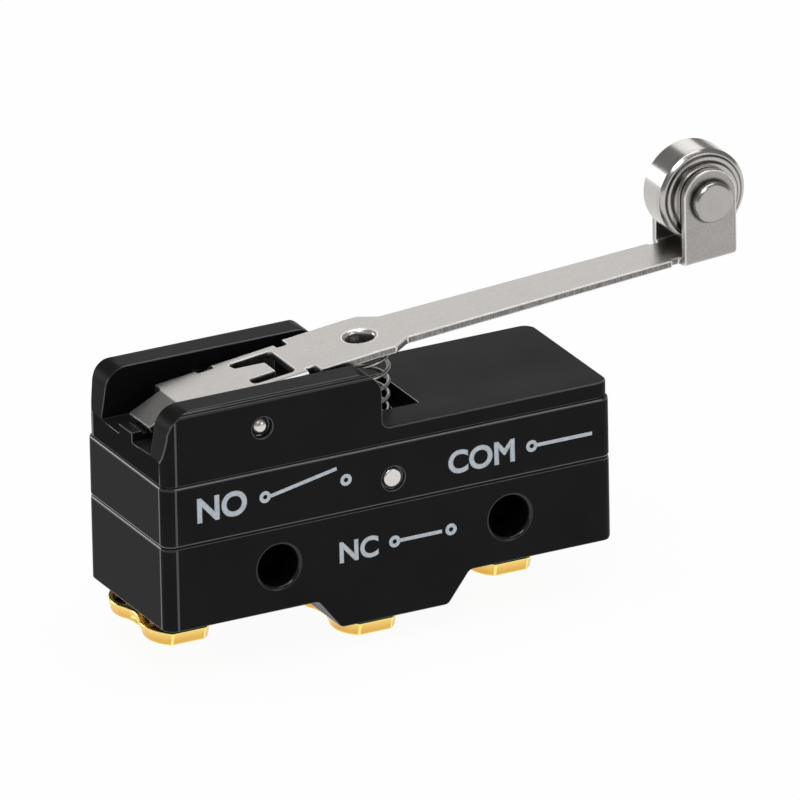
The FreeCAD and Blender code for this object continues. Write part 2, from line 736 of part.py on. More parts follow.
def cover_pin():
    body = pin_across("cover_pin", "cover_pin_offset", "cover_pin_z")
    section = new_sketch(body, "cover_pin_section", "XZ")
    end = "half_width - cover_pin_inset"
    outline(section, [
        ("0", f"-({end})"),
        ("cover_pin_dia / 2 - cover_pin_edge", f"-({end})"),
        ("cover_pin_dia / 2", f"-({end}) + cover_pin_edge"),
        ("cover_pin_dia / 2", f"{end} - cover_pin_edge"),
        ("cover_pin_dia / 2 - cover_pin_edge", end),
        ("0", end),
    ])
    revolve(body, section, "cover_pin_turned")
    return body


def lever():
    """One steel sheet: tail, plate with tongue and hinge ears, arm, and the roller's clevis."""
    body = new_body("lever")
    side = new_sketch(body, "strip_side", "XZ")
    outline(side, [
        ("tail_x + lever_thick * sin(tail_slope * 1 deg)", "tail_low"),
        ("fold_x + fold_miter * sin(fold_mean * 1 deg)", "fold_z - fold_miter * cos(fold_mean * 1 deg)"),
        ("bend_x", "bend_z - lever_thick"),
        ("arm_end_x", "arm_end_z - lever_thick"),
        ("arm_end_x", "arm_end_z"),
        ("bend_x", "bend_z"),
        ("fold_x", "fold_z"),
        ("tail_x", "tail_z"),
    ])
    pad(body, side, "strip", "blank_width", both=True)
    plan = new_sketch(body, "lever_plan", "XY", "roller_z")
    margin = "lever_thick"
    rectangle(plan, f"tail_x - 2 * {margin}", f"arm_end_x + 2 * {margin}",
              f"-blank_width / 2 - {margin}", f"blank_width / 2 + {margin}")
    outline(plan, both_sides([
        (f"tail_x - {margin}", "tail_width / 2"),
        ("fold_x", "tail_width / 2"),
        ("fold_x", "plate_width / 2"),
        ("pivot_x + ear_start - notch_left", "plate_width / 2"),
        ("pivot_x + ear_start - notch_left", "notch_half"),
        ("pivot_x + ear_start", "notch_half"),
        ("pivot_x + ear_start", "ear_span / 2"),
        ("pivot_x + ear_end", "ear_span / 2"),
        ("pivot_x + ear_end", "notch_half"),
        ("pivot_x + ear_end + notch_right", "notch_half"),
        ("pivot_x + ear_end + notch_right", "seat_width / 2"),
        ("pivot_x + neck_start", "seat_width / 2"),
        ("pivot_x + neck_end", "arm_root_width / 2"),
        ("clevis_x - clevis_notch", "arm_end_width / 2"),
        ("clevis_x - clevis_notch", "clevis_notch_half"),
        ("clevis_x", "clevis_notch_half"),
        ("clevis_x", "clevis_span / 2"),
        (f"arm_end_x + {margin}", "clevis_span / 2"),
    ]))
    pocket(body, plan, "lever_outline")
    window = new_sketch(body, "window_plan", "XY", "roller_z")
    rounded(window, "window_x", "pivot_x + window_end", "-window_width / 2", "window_width / 2",
            "window_round")
    pocket(body, window, "window")
    tongue = new_sketch(body, "tongue_side", "XZ")
    outline(tongue, [
        ("window_x - lever_thick", "window_z - lever_thick * plate_tan - lever_thick"),
        ("window_x", "window_z - lever_thick"),
        ("tongue_x", "tongue_z - lever_thick"),
        ("tongue_x", "tongue_z"),
        ("window_x", "window_z"),
        ("window_x - lever_thick", "window_z - lever_thick * plate_tan"),
    ])
    pad(body, tongue, "tongue", "tongue_root", both=True)
    taper = new_sketch(body, "tongue_taper", "XY", "roller_z")
    wide = "tongue_root / 2 + moulded_gap"
    outline(taper, [
        ("window_x", "tongue_root / 2"),
        ("tongue_x + moulded_gap", "tongue_tip / 2"),
        ("tongue_x + moulded_gap", wide),
        ("window_x", wide),
    ])
    outline(taper, [
        ("window_x", f"-({wide})"),
        ("tongue_x + moulded_gap", f"-({wide})"),
        ("tongue_x + moulded_gap", "-tongue_tip / 2"),
        ("window_x", "-tongue_root / 2"),
    ])
    pocket(body, taper, "tongue_sides")
    ear = new_sketch(body, "ear_side", "XZ", "ear_span / 2")
    ear_root = "pivot_z + lever_rise - lever_thick / 2"
    outline(ear, [
        ("pivot_x", "pivot_z - ear_nose"),
        ("pivot_x + ear_end", "pivot_z - ear_foot"),
        ("pivot_x + ear_end", f"{ear_root} + ear_end * plate_tan"),
        ("pivot_x + ear_start", f"{ear_root} + ear_start * plate_tan"),
        ("pivot_x", "pivot_z + ear_nose", "ear_nose"),
    ])
    near_ear = pad(body, ear, "hinge_ear", "lever_thick", back=True)
    mirror(body, [near_ear], "hinge_ears")
    ear_line = value("ear_span / 2")
    ear_from = value("pivot_x + ear_start")
    ear_to = value("pivot_x + ear_end")
    hinge_level = value("pivot_z + lever_rise")
    dress("Fillet", body, "ear_bends", "bend_round",
          lambda edge: near(abs(middle(edge).y), ear_line) and near(edge.BoundBox.YLength, 0.0)
          and near(edge.BoundBox.XMin, ear_from) and near(edge.BoundBox.XMax, ear_to)
          and middle(edge).z > hinge_level)
    hinge = new_sketch(body, "hinge_place", "XZ")
    circle(hinge, "pivot_x", "pivot_z", "pivot_dia / 2 + running_gap")
    pocket(body, hinge, "hinge_holes", both=True)
    collar = new_sketch(body, "collar_place", "XY", "spring_z - lever_thick - collar_depth")
    circle(collar, "spring_x", "0", "collar_dia / 2")
    pad(body, collar, "spring_collar", "collar_depth + lever_thick / 2")
    hole = new_sketch(body, "spring_hole_place", "XY", "roller_z")
    circle(hole, "spring_x", "0", "spring_hole_dia / 2")
    pocket(body, hole, "spring_hole")
    spring_x = value("spring_x")
    spring_z = value("spring_z")
    slack = value("lever_thick / 4")
    hole_half = value("spring_hole_dia / 2")
    dress("Chamfer", body, "spring_hole_rim", "spring_hole_edge",
          lambda edge: edge.Curve.TypeId == "Part::GeomEllipse" and abs(middle(edge).z - spring_z) < slack
          and abs(middle(edge).x - spring_x) < hole_half and edge.BoundBox.YMax < hole_half + slack)
    clevis = new_sketch(body, "clevis_side", "XZ", "clevis_span / 2")
    outline(clevis, [
        ("clevis_x", "clevis_z - lever_thick"),
        ("arm_end_x", "arm_end_z - lever_thick"),
        ("arm_end_x", "roller_z + clevis_crown - clevis_width / 2", "clevis_width / 2"),
        ("clevis_x", "roller_z + clevis_crown - clevis_width / 2"),
    ])
    near_side = pad(body, clevis, "clevis_ear", "lever_thick", back=True)
    mirror(body, [near_side], "clevis_ears")
    clevis_line = value("clevis_span / 2")
    clevis_from = value("clevis_x")
    clevis_to = value("arm_end_x")
    clevis_low = value("arm_end_z - lever_thick")
    dress("Fillet", body, "clevis_bends", "bend_round",
          lambda edge: near(abs(middle(edge).y), clevis_line) and near(edge.BoundBox.YLength, 0.0)
          and near(edge.BoundBox.XMin, clevis_from) and near(edge.BoundBox.XMax, clevis_to)
          and edge.BoundBox.ZMax < clevis_low + 0.01)
    axle = new_sketch(body, "rivet_place", "XZ")
    circle(axle, "roller_x", "roller_z", "rivet_dia / 2")
    pocket(body, axle, "rivet_holes", both=True)
    return body


def roller():
    body = pin_across("roller", "roller_x", "roller_z")
    section = new_sketch(body, "roller_section", "XZ")
    face = "roller_width / 2"
    outline(section, [
        ("rivet_dia / 2 + running_gap", f"-{face} - hub_rise"),
        ("hub_dia / 2", f"-{face} - hub_rise"),
        ("hub_dia / 2", f"-{face} - hub_step"),
        ("hub_step_dia / 2", f"-{face} - hub_step"),
        ("hub_step_dia / 2", f"-{face}"),
        ("roller_dia / 2 - roller_edge", f"-{face}"),
        ("roller_dia / 2", f"-{face} + roller_edge"),
        ("roller_dia / 2", f"{face} - roller_edge"),
        ("roller_dia / 2 - roller_edge", face),
        ("hub_step_dia / 2", face),
        ("hub_step_dia / 2", f"{face} + hub_step"),
        ("hub_dia / 2", f"{face} + hub_step"),
        ("hub_dia / 2", f"{face} + hub_rise"),
        ("rivet_dia / 2 + running_gap", f"{face} + hub_rise"),
    ])
    revolve(body, section, "roller_turned")
    return body


def roller_rivet():
    body = pin_across("roller_rivet", "roller_x", "roller_z")
    section = new_sketch(body, "rivet_section", "XZ")
    face = "clevis_span / 2"
    end = "clevis_span / 2 + rivet_head"
    outline(section, [
        ("0", f"-{end.replace('+', '-')}"),
        ("rivet_head_dia / 2 - rivet_edge", f"-{end.replace('+', '-')}"),
        ("rivet_head_dia / 2", f"-{end.replace('+', '-')} + rivet_edge"),
        ("rivet_head_dia / 2", f"-{face}"),
        ("rivet_dia / 2", f"-{face}"),
        ("rivet_dia / 2", face),
        ("rivet_head_dia / 2", face),
        ("rivet_head_dia / 2", f"{end} - rivet_edge"),
        ("rivet_head_dia / 2 - rivet_edge", end),
        ("0", end),
    ])
    revolve(body, section, "rivet_turned")
    return body


def return_spring():
    """The coil spring under the lever: a round wire swept along a helix of short straight runs
    that widens towards the top."""
    low = value("spring_low")
    rise = value("spring_high") - low
    turns = value("spring_turns")
    bottom = value("spring_dia / 2 - wire_dia / 2")
    spread = value("tan(spring_cone * 1 deg)") * rise
    lead = 2 * math.pi * value("spring_lead")
    count = round(RUNS_PER_TURN * turns)
    spots = []
    for index in range(count + 1):
        part = index / count
        angle = 2 * math.pi * turns * part - lead
        radius = bottom + spread * part
        spots.append(MM(radius * math.cos(angle), radius * math.sin(angle), low + rise * part))
    run = (spots[1] - spots[0]).normalize()
    out = MM(spots[0].x, spots[0].y, 0).normalize()
    over = run.cross(out)
    reach = value("wire_dia / 2")
    corners = []
    for side in range(WIRE_SIDES + 1):
        turn = 2 * math.pi * side / WIRE_SIDES
        corners.append(spots[0] + out * (reach * math.cos(turn)) + over * (reach * math.sin(turn)))
    section = Part.makePolygon(corners)
    coil = Part.makePolygon(spots).makePipeShell([section], True, True, MITRED)
    spring = doc.addObject("Part::Feature", "return_spring")
    spring.Label = "return_spring"
    spring.Shape = coil
    return place(spring, "spring_x")


def plunger():
    body = place(new_body("plunger"), "plunger_x", "0", "0")
    section = new_sketch(body, "plunger_section", "XZ")
    collar_top = "chamber_roof - contact_gap"
    outline(section, [
        ("0", "blade_top + contact_gap"),
        ("plunger_tip_dia / 2", "blade_top + contact_gap"),
        ("plunger_tip_dia / 2", f"{collar_top} - plunger_collar"),
        ("plunger_collar_dia / 2", f"{collar_top} - plunger_collar"),
        ("plunger_collar_dia / 2", collar_top),
        ("plunger_dia / 2", collar_top),
        ("plunger_dia / 2", "plunger_top - plunger_dome"),
        ("plunger_dia / 4", "plunger_top - plunger_dome / 4"),
        ("0", "plunger_top"),
    ])
    revolve(body, section, "plunger_turned")
    return body


def snap_blade():
    """The blade: contact head, tension leg to the anchor, and two bowed legs that push back."""
    body = new_body("snap_blade")
    plan = new_sketch(body, "blade_plan", "XY", "blade_low")
    head_end = "left_end + blade_start + blade_head"
    outline(plan, both_sides([
        ("left_end + blade_start", "blade_head_width / 2"),
        (head_end, "blade_head_width / 2"),
        (head_end, "tension_width / 2"),
        ("anchor_x - anchor_run", "tension_width / 2"),
        ("anchor_x - anchor_run", "anchor_width / 2"),
        ("anchor_x + anchor_run", "anchor_width / 2"),
    ]))
    pad(body, plan, "blade_sheet", "blade_thick")
    bow = new_sketch(body, "bow_side", "XZ", "-bow_offset")
    outline(bow, [
        (f"{head_end} - blade_thick", "blade_low"),
        (head_end, "blade_low", "-bow_rise"),
        ("bow_x", "blade_low"),
        ("bow_x", "blade_top", "bow_rise"),
        (head_end, "blade_top"),
        (f"{head_end} - blade_thick", "blade_top"),
    ])
    near_bow = pad(body, bow, "bow", "bow_width", back=True)
    mirror(body, [near_bow], "bows")
    holes = new_sketch(body, "blade_holes_plan", "XY", "blade_top")
    circle(holes, "contact_x", "0", "contact_shank_dia / 2")
    circle(holes, "anchor_x", "0", "blade_rivet_dia / 2 + blade_rivet_play")
    pocket(body, holes, "blade_holes", "blade_thick")
    return body


def moving_contact():
    body = place(new_body("moving_contact"), "contact_x", "0", "0")
    section = new_sketch(body, "contact_section", "XZ")
    outline(section, [
        ("0", "blade_low - contact_head"),
        ("contact_dia / 2 - contact_edge", "blade_low - contact_head"),
        ("contact_dia / 2", "blade_low - contact_head + contact_edge"),
        ("contact_dia / 2", "blade_low"),
        ("contact_shank_dia / 2", "blade_low"),
        ("contact_shank_dia / 2", "blade_top"),
        ("contact_dia / 2", "blade_top"),
        ("contact_dia / 2", "blade_top + contact_head - contact_edge"),
        ("contact_dia / 2 - contact_edge", "blade_top + contact_head"),
        ("0", "blade_top + contact_head"),
    ])
    revolve(body, section, "contact_turned")
    return body


def fixed_contact(name, level, turn=None):
    """A rivet contact whose shank goes through its strip; its face looks away from the strip."""
    body = place(new_body(name), "contact_x", "0", level, turn)
    section = new_sketch(body, name + "_section", "XZ")
    outline(section, [
        ("0", "-strip_thick"),
        ("contact_shank_dia / 2", "-strip_thick"),
        ("contact_shank_dia / 2", "0"),
        ("contact_dia / 2", "0"),
        ("contact_dia / 2", "contact_head - contact_edge"),
        ("contact_dia / 2 - contact_edge", "contact_head"),
        ("0", "contact_head"),
    ])
    revolve(body, section, name + "_turned")
    return body


def blade_rivet():
    body = place(new_body("blade_rivet"), "anchor_x", "0", "0")
    section = new_sketch(body, "blade_rivet_section", "XZ")
    upper = "blade_top + 2 * contact_gap"
    outline(section, [
        ("0", "chamber_floor - blade_rivet_head"),
        ("blade_rivet_head_dia / 2", "chamber_floor - blade_rivet_head"),
        ("blade_rivet_head_dia / 2", "chamber_floor"),
        ("blade_rivet_dia / 2", "chamber_floor"),
        ("blade_rivet_dia / 2", upper),
        ("blade_rivet_head_dia / 2", upper),
        ("blade_rivet_head_dia / 2", f"{upper} + blade_rivet_head"),
        ("0", f"{upper} + blade_rivet_head"),
    ])
    revolve(body, section, "blade_rivet_turned")
    return body


def blade_saddle():
    """The strip under the common terminal's foot, with two upright tabs that hold the bows' tips."""
    body = new_body("blade_saddle")
    plan = new_sketch(body, "saddle_plan", "XY", "chamber_floor")
    tab_left = "bow_x - saddle_thick / 2"
    rectangle(plan, tab_left, "anchor_x + anchor_run", "-saddle_width / 2", "saddle_width / 2")
    pad(body, plan, "saddle_sheet", "saddle_thick")
    tabs = new_sketch(body, "saddle_tab_plan", "XY", "chamber_floor")
    rectangle(tabs, tab_left, "bow_x + saddle_thick / 2", "saddle_slit / 2", "saddle_width / 2")
    tab = pad(body, tabs, "saddle_tab", "saddle_thick + saddle_tab")
    mirror(body, [tab], "saddle_tabs")
    window = new_sketch(body, "bow_window", "YZ")
    rectangle(window, "bow_offset - moulded_gap", "bow_offset + bow_width + moulded_gap",
              "blade_low - bow_drop - saddle_sill", "blade_top + saddle_sill")
    opening = pocket(body, window, "bow_seat", both=True)
    mirror(body, [opening], "bow_seats")
    rivet = new_sketch(body, "saddle_rivet_place", "XY", "saddle_top")
    circle(rivet, "anchor_x", "0", "blade_rivet_dia / 2")
    pocket(body, rivet, "saddle_rivet_hole", "saddle_thick")
    return body


def strip_terminal(name, points, screw_at, rivet_at, rivet_dia, foot_level):
    """A terminal bent from one strip: a tapped plate below, a leg, and a foot in the chamber."""
    body = new_body(name)
    side = new_sketch(body, name + "_side", "XZ")
    outline(side, points)
    pad(body, side, name + "_strip", "strip_width", both=True)
    screw = new_sketch(body, name + "_screw_place", "XY", "base - strip_proud")
    circle(screw, screw_at, "0", "screw_dia / 2")
    pocket(body, screw, name + "_tapped_hole", "strip_thick", back=True)
    rivet = new_sketch(body, name + "_rivet_place", "XY", foot_level)
    circle(rivet, rivet_at, "0", rivet_dia)
    pocket(body, rivet, name + "_rivet_hole", "strip_thick")
    leg = value("com_leg" if name == "com_terminal" else "no_leg")
    dress("Fillet", body, name + "_bends", "strip_bend",
          lambda edge: runs(edge, "y") and near(middle(edge).x, leg))
    return body


def com_terminal():
    inner = "com_leg - strip_thick"
    return strip_terminal("com_terminal", [
        ("com_x - com_fore", "base - strip_proud"),
        ("com_leg", "base - strip_proud"),
        ("com_leg", "foot_top"),
        ("anchor_x - anchor_run", "foot_top"),
        ("anchor_x - anchor_run", "saddle_top"),
        (inner, "saddle_top"),
        (inner, "base - strip_proud + strip_thick"),
        ("com_x - com_fore", "base - strip_proud + strip_thick"),
    ], "com_x", "anchor_x", "blade_rivet_dia / 2", "foot_top")


def no_terminal():
    inner = "no_leg - strip_thick"
    return strip_terminal("no_terminal", [
        ("left_end + strip_end", "base - strip_proud"),
        ("no_leg", "base - strip_proud"),
        ("no_leg", "no_foot"),
        ("contact_x - arm_pad / 2", "no_foot"),
        ("contact_x - arm_pad / 2", "no_foot - strip_thick"),
        (inner, "no_foot - strip_thick"),
        (inner, "base - strip_proud + strip_thick"),
        ("left_end + strip_end", "base - strip_proud + strip_thick"),
    ], "no_x", "contact_x", "contact_shank_dia / 2", "no_foot")


def nc_terminal():
    """The strip from the boss up beside the blade and along the roof to the upper contact."""
    body = new_body("nc_terminal")
    plate = new_sketch(body, "nc_plate_plan", "XY", "boss_base - strip_proud")
    outline(plate, [
        ("riser_x", "-strip_width / 2"),
        ("nc_x + strip_width / 2", "-strip_width / 2"),
        ("nc_x + strip_width / 2", "strip_width / 2"),
        ("riser_x + riser_run", "strip_width / 2"),
        ("riser_x + riser_run", "riser_out"),
        ("riser_x", "riser_out"),
    ])
    pad(body, plate, "nc_plate", "strip_thick")
    riser = new_sketch(body, "nc_riser_plan", "XY", "boss_base - strip_proud")
    rectangle(riser, "riser_x", "riser_x + riser_run", "riser_out - strip_thick", "riser_out")
    pad(body, riser, "nc_riser", "nc_foot + strip_thick - boss_base + strip_proud")
    arm = new_sketch(body, "nc_arm_plan", "XY", "nc_foot")
    outline(arm, [
        ("contact_x - arm_pad / 2", "-arm_pad / 2"),
        ("contact_x + arm_pad / 2", "-arm_pad / 2"),
        ("contact_x + arm_pad / 2", "riser_out - nc_arm_width"),
        ("riser_x + riser_run", "riser_out - nc_arm_width"),
        ("riser_x + riser_run", "riser_out"),
        ("contact_x - arm_pad / 2", "riser_out"),
    ])
    pad(body, arm, "nc_arm", "strip_thick")
    screw = new_sketch(body, "nc_screw_place", "XY", "boss_base - strip_proud")
    circle(screw, "nc_x", "0", "screw_dia / 2")
    pocket(body, screw, "nc_tapped_hole", "strip_thick", back=True)
    rivet = new_sketch(body, "nc_rivet_place", "XY", "nc_foot + strip_thick")
    circle(rivet, "contact_x", "0", "contact_shank_dia / 2")
    pocket(body, rivet, "nc_rivet_hole", "strip_thick")
    return body


def cup_outline(sketch, grow):
    """The cup seen from above: two straight ends, two round lobes on each side and a waist."""
    end = f"cup_half + {grow}"
    side = f"cup_bulge + {grow}"
    outline(sketch, [
        ("-cup_front", f"-({end})"),
        ("cup_front", f"-({end})", "cup_lobe"),
        (side, "-cup_waist_end", "-cup_waist"),
        (side, "cup_waist_end", "cup_lobe"),
        ("cup_front", end),
        ("-cup_front", end, "cup_lobe"),
        (f"-({side})", "cup_waist_end", "-cup_waist"),
        (f"-({side})", "-cup_waist_end", "cup_lobe"),
    ])


def cup(name, along, up):
    """A pressed cup: a flat floor, a rim that leans out, and a dish for the screw's head."""
    body = place(new_body(name), along, "0", up)
    floor = new_sketch(body, name + "_floor", "XY", "cup_low")
    cup_outline(floor, "0")
    rim = new_sketch(body, name + "_rim", "XY", "-strip_proud - cup_thick")
    cup_outline(rim, "cup_lean")
    outer = body.newObject("PartDesign::AdditiveLoft", name + "_outer")
    outer.Profile = floor
    outer.Sections = [rim]
    outer.Ruled = True
    inner_floor = new_sketch(body, name + "_inner_floor", "XY", "cup_low + cup_thick")
    cup_outline(inner_floor, "cup_lean / 2 - cup_thick")
    inner_rim = new_sketch(body, name + "_inner_rim", "XY", "-strip_proud - cup_thick")
    cup_outline(inner_rim, "cup_lean - cup_thick")
    inner = body.newObject("PartDesign::SubtractiveLoft", name + "_inner")
    inner.Profile = inner_floor
    inner.Sections = [inner_rim]
    inner.Ruled = True
    dish = new_sketch(body, name + "_dish", "XZ")
    outline(dish, [
        ("0", "cup_low + cup_thick / 2"),
        ("screw_head_dia / 2 + cup_thick / 2", "cup_low + cup_thick / 2"),
        ("screw_dia / 2 + cup_thick", "-strip_proud"),
        ("0", "-strip_proud"),
    ])
    revolve(body, dish, name + "_dished")
    sink = new_sketch(body, name + "_sink", "XZ")
    outline(sink, [
        ("0", "cup_low"),
        ("screw_head_dia / 2", "cup_low"),
        ("screw_dia / 2", "cup_low + screw_head"),
        ("screw_dia / 2", "-strip_proud"),
        ("0", "-strip_proud"),
    ])
    revolve(body, sink, name + "_hole", "Groove")
    return body


def terminal_screw(name, along, up):
    """A countersunk screw with a straight slot, its head down."""
    body = place(new_body(name), along, "0", up)
    section = new_sketch(body, name + "_section", "XZ")
    outline(section, [
        ("0", "cup_low"),
        ("screw_head_dia / 2", "cup_low"),
        ("screw_dia / 2", "cup_low + screw_head"),
        ("screw_dia / 2", "screw_tip - screw_point"),
        ("screw_dia / 2 - screw_point", "screw_tip"),
        ("0", "screw_tip"),
    ])
    revolve(body, section, name + "_turned")
    slot = new_sketch(body, name + "_slot_plan", "XY", "cup_low")
    rectangle(slot, "-screw_head_dia / 2", "screw_head_dia / 2", "-screw_slot / 2", "screw_slot / 2")
    pocket(body, slot, name + "_slot", "screw_slot_deep", back=True)
    return body


def build():
    """Every sub-part of the switch, in the order in which it is put together."""
    flipped = FreeCAD.Rotation(MM(1, 0, 0), 180)
    return [
        lower_case(),
        com_terminal(),
        no_terminal(),
        nc_terminal(),
        fixed_contact("no_contact", "no_foot"),
        fixed_contact("nc_contact", "nc_foot", flipped),
        blade_saddle(),
        snap_blade(),
        moving_contact(),
        blade_rivet(),
        plunger(),
        middle_case(),
        cover_pin(),
        top_housing(),
        return_spring(),
        lever(),
        pivot_pin(),
        roller(),
        roller_rivet(),
        cup("no_washer", "no_x", "base"),
        cup("nc_washer", "nc_x", "boss_base"),
        cup("com_washer", "com_x", "base"),
        terminal_screw("no_screw", "no_x", "base"),
        terminal_screw("nc_screw", "nc_x", "boss_base"),
        terminal_screw("com_screw", "com_x", "base"),
    ]


def check_and_write(pieces):
    """Stops on any failed object or broken shape, then writes each piece to its own file."""
    doc.recompute()
    for item in doc.Objects:
        if "Invalid" in item.State or "Error" in item.State:
            raise RuntimeError(f"{item.Name} failed: {item.State}")
    for piece in pieces:
        shape = piece.Shape
        if shape.isNull() or not shape.isValid():
            raise RuntimeError(f"{piece.Label} has no valid shape")
        if len(shape.Solids) != 1:
            raise RuntimeError(f"{piece.Label} is {len(shape.Solids)} solids")
    os.makedirs("parts", exist_ok=True)
    for piece in pieces:
        piece.Shape.exportStep(f"parts/{piece.Label}.step")


fill_sheet()
check_and_write(build())
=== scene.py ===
"""Looks of a lever micro switch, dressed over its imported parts.

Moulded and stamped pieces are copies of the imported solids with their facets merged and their
edges rounded. The return spring, the printed marks and the studio are new.
"""

import json
import math

import bpy
from mathutils import Matrix, Vector


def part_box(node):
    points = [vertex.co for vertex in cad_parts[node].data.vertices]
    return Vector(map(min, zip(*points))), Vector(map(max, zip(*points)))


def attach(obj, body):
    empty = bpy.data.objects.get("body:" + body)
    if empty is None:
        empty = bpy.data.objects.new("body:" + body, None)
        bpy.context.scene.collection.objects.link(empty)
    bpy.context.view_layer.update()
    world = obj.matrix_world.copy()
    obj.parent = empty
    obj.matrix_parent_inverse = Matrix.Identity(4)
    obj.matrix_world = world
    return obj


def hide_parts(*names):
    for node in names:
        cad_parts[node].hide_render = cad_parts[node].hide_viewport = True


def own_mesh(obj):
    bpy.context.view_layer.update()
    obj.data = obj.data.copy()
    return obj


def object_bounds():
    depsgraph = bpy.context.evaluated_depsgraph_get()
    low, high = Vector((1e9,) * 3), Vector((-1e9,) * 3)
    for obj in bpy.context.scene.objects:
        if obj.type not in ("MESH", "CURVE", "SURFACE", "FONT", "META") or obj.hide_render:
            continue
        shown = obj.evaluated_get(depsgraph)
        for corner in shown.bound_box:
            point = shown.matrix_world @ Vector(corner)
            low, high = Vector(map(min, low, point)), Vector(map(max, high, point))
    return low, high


bl_info = {
    "name": "Lever Switch Looks",
    "version": (1, 0, 0),
    "blender": (4, 5, 0),
    "location": "View3D > Sidebar > Switch",
    "description": "Finishes, rounded edges, printed marks and studio of a lever micro switch",
    "category": "Object",
}

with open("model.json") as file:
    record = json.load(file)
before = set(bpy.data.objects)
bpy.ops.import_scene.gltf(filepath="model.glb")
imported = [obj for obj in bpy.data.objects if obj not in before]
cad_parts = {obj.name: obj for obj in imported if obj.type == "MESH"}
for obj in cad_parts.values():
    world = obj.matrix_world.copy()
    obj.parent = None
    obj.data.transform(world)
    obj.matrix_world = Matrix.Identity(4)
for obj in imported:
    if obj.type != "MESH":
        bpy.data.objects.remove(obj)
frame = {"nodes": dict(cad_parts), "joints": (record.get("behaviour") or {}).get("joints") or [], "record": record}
CAD_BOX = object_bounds()

MM = 0.001
MERGE = 1e-6                    # corners of neighbouring facets closer than this are one
COPLANAR = math.radians(0.6)    # facets that meet flatter than this are one face
SHARP = math.radians(32)        # edges that turn more than this are rounded, the rest are smooth
SHADE_LINE = 0.17 * MM                # half the width of a painted shade line in a corner between two faces
NOISE_LOW, NOISE_HIGH = 0.3, 0.7    # the values that a noise mostly lies between

PIVOT = Vector(next(joint["pos_m"] for joint in frame["joints"] if joint["name"] == "lever_pivot"))
AXLE = Vector(next(joint["pos_m"] for joint in frame["joints"] if joint["name"] == "roller_spin"))
PLATE_SLOPE = math.radians(6.25)    # rise of the lever's plate over the spring, at rest

# The photograph's view: where the camera stands round the switch, and what it looks at.
VIEW_AZIMUTH = math.radians(-26.612)
VIEW_ELEVATION = math.radians(22.399)
VIEW_ROLL = math.radians(-1.128)
VIEW_DISTANCE = 2.0
VIEW_SHARE = 25.45125           # focal length over the frame's width
VIEW_TARGET = Vector((-0.4 * MM, 0, 7.33 * MM))
VIEW_SHIFT = (4.948 * MM, 4.304 * MM)


class SwitchSizes(bpy.types.PropertyGroup):
    """Sizes of the finishing work"""
    moulded_edge: bpy.props.FloatProperty(
        name="Moulded edge", description="Radius on the edges of the moulded body",
        default=0.11 * MM, unit="LENGTH", precision=6)
    wall_edge: bpy.props.FloatProperty(
        name="Wall edge", description="Radius on the outer top edges of the housing's walls",
        default=0.55 * MM, unit="LENGTH", precision=6)
    sheet_edge: bpy.props.FloatProperty(
        name="Sheet edge", description="Radius on the edges of the steel lever",
        default=0.15 * MM, unit="LENGTH", precision=6)
    cup_edge: bpy.props.FloatProperty(
        name="Cup edge", description="Radius on the edges of the brass cups",
        default=0.16 * MM, unit="LENGTH", precision=6)
    turned_edge: bpy.props.FloatProperty(
        name="Turned edge", description="Radius on the edges of the roller, rivet, pins and screws",
        default=0.06 * MM, unit="LENGTH", precision=6)
    print_proud: bpy.props.FloatProperty(
        name="Print height", description="How far the printed ink stands out of the body",
        default=0.012 * MM, unit="LENGTH", precision=6)
    spring_turns: bpy.props.FloatProperty(
        name="Spring turns", description="Open turns of the return spring", default=5.3)


class SwitchColours(bpy.types.PropertyGroup):
    """Colours of the finishes"""
    body: bpy.props.FloatVectorProperty(
        name="Body", description="Black phenolic moulding", subtype="COLOR",
        default=(0.0104, 0.0104, 0.0108))
    steel: bpy.props.FloatVectorProperty(
        name="Steel", description="Rolled stainless sheet of the lever", subtype="COLOR",
        default=(0.45, 0.43, 0.41))
    turned: bpy.props.FloatVectorProperty(
        name="Turned steel", description="Roller, rivet and pins", subtype="COLOR",
        default=(0.47, 0.45, 0.43))
    brass: bpy.props.FloatVectorProperty(
        name="Brass", description="Terminal cups and strips", subtype="COLOR",
        default=(0.96, 0.68, 0.21))
    ink: bpy.props.FloatVectorProperty(
        name="Ink", description="Printed marks", subtype="COLOR",
        default=(0.5, 0.55, 0.6))
    floor: bpy.props.FloatVectorProperty(
        name="Floor", description="Studio floor", subtype="COLOR",
        default=(1.0, 1.0, 1.0))


class Signal:
    """A shader socket with Python's arithmetic: each operator adds one Math node."""

    def __init__(self, finish, socket):
        self.finish = finish
        self.socket = socket

    def maths(self, operation, first, second):
        return self.finish.node("ShaderNodeMath", {"operation": operation}, {0: first, 1: second})

    def __add__(self, other):
        return self.maths("ADD", self, other)

    def __radd__(self, other):
        return self.maths("ADD", other, self)

    def __sub__(self, other):
        return self.maths("SUBTRACT", self, other)

    def __rsub__(self, other):
        return self.maths("SUBTRACT", other, self)

    def __mul__(self, other):
        return self.maths("MULTIPLY", self, other)

    def __rmul__(self, other):
        return self.maths("MULTIPLY", other, self)


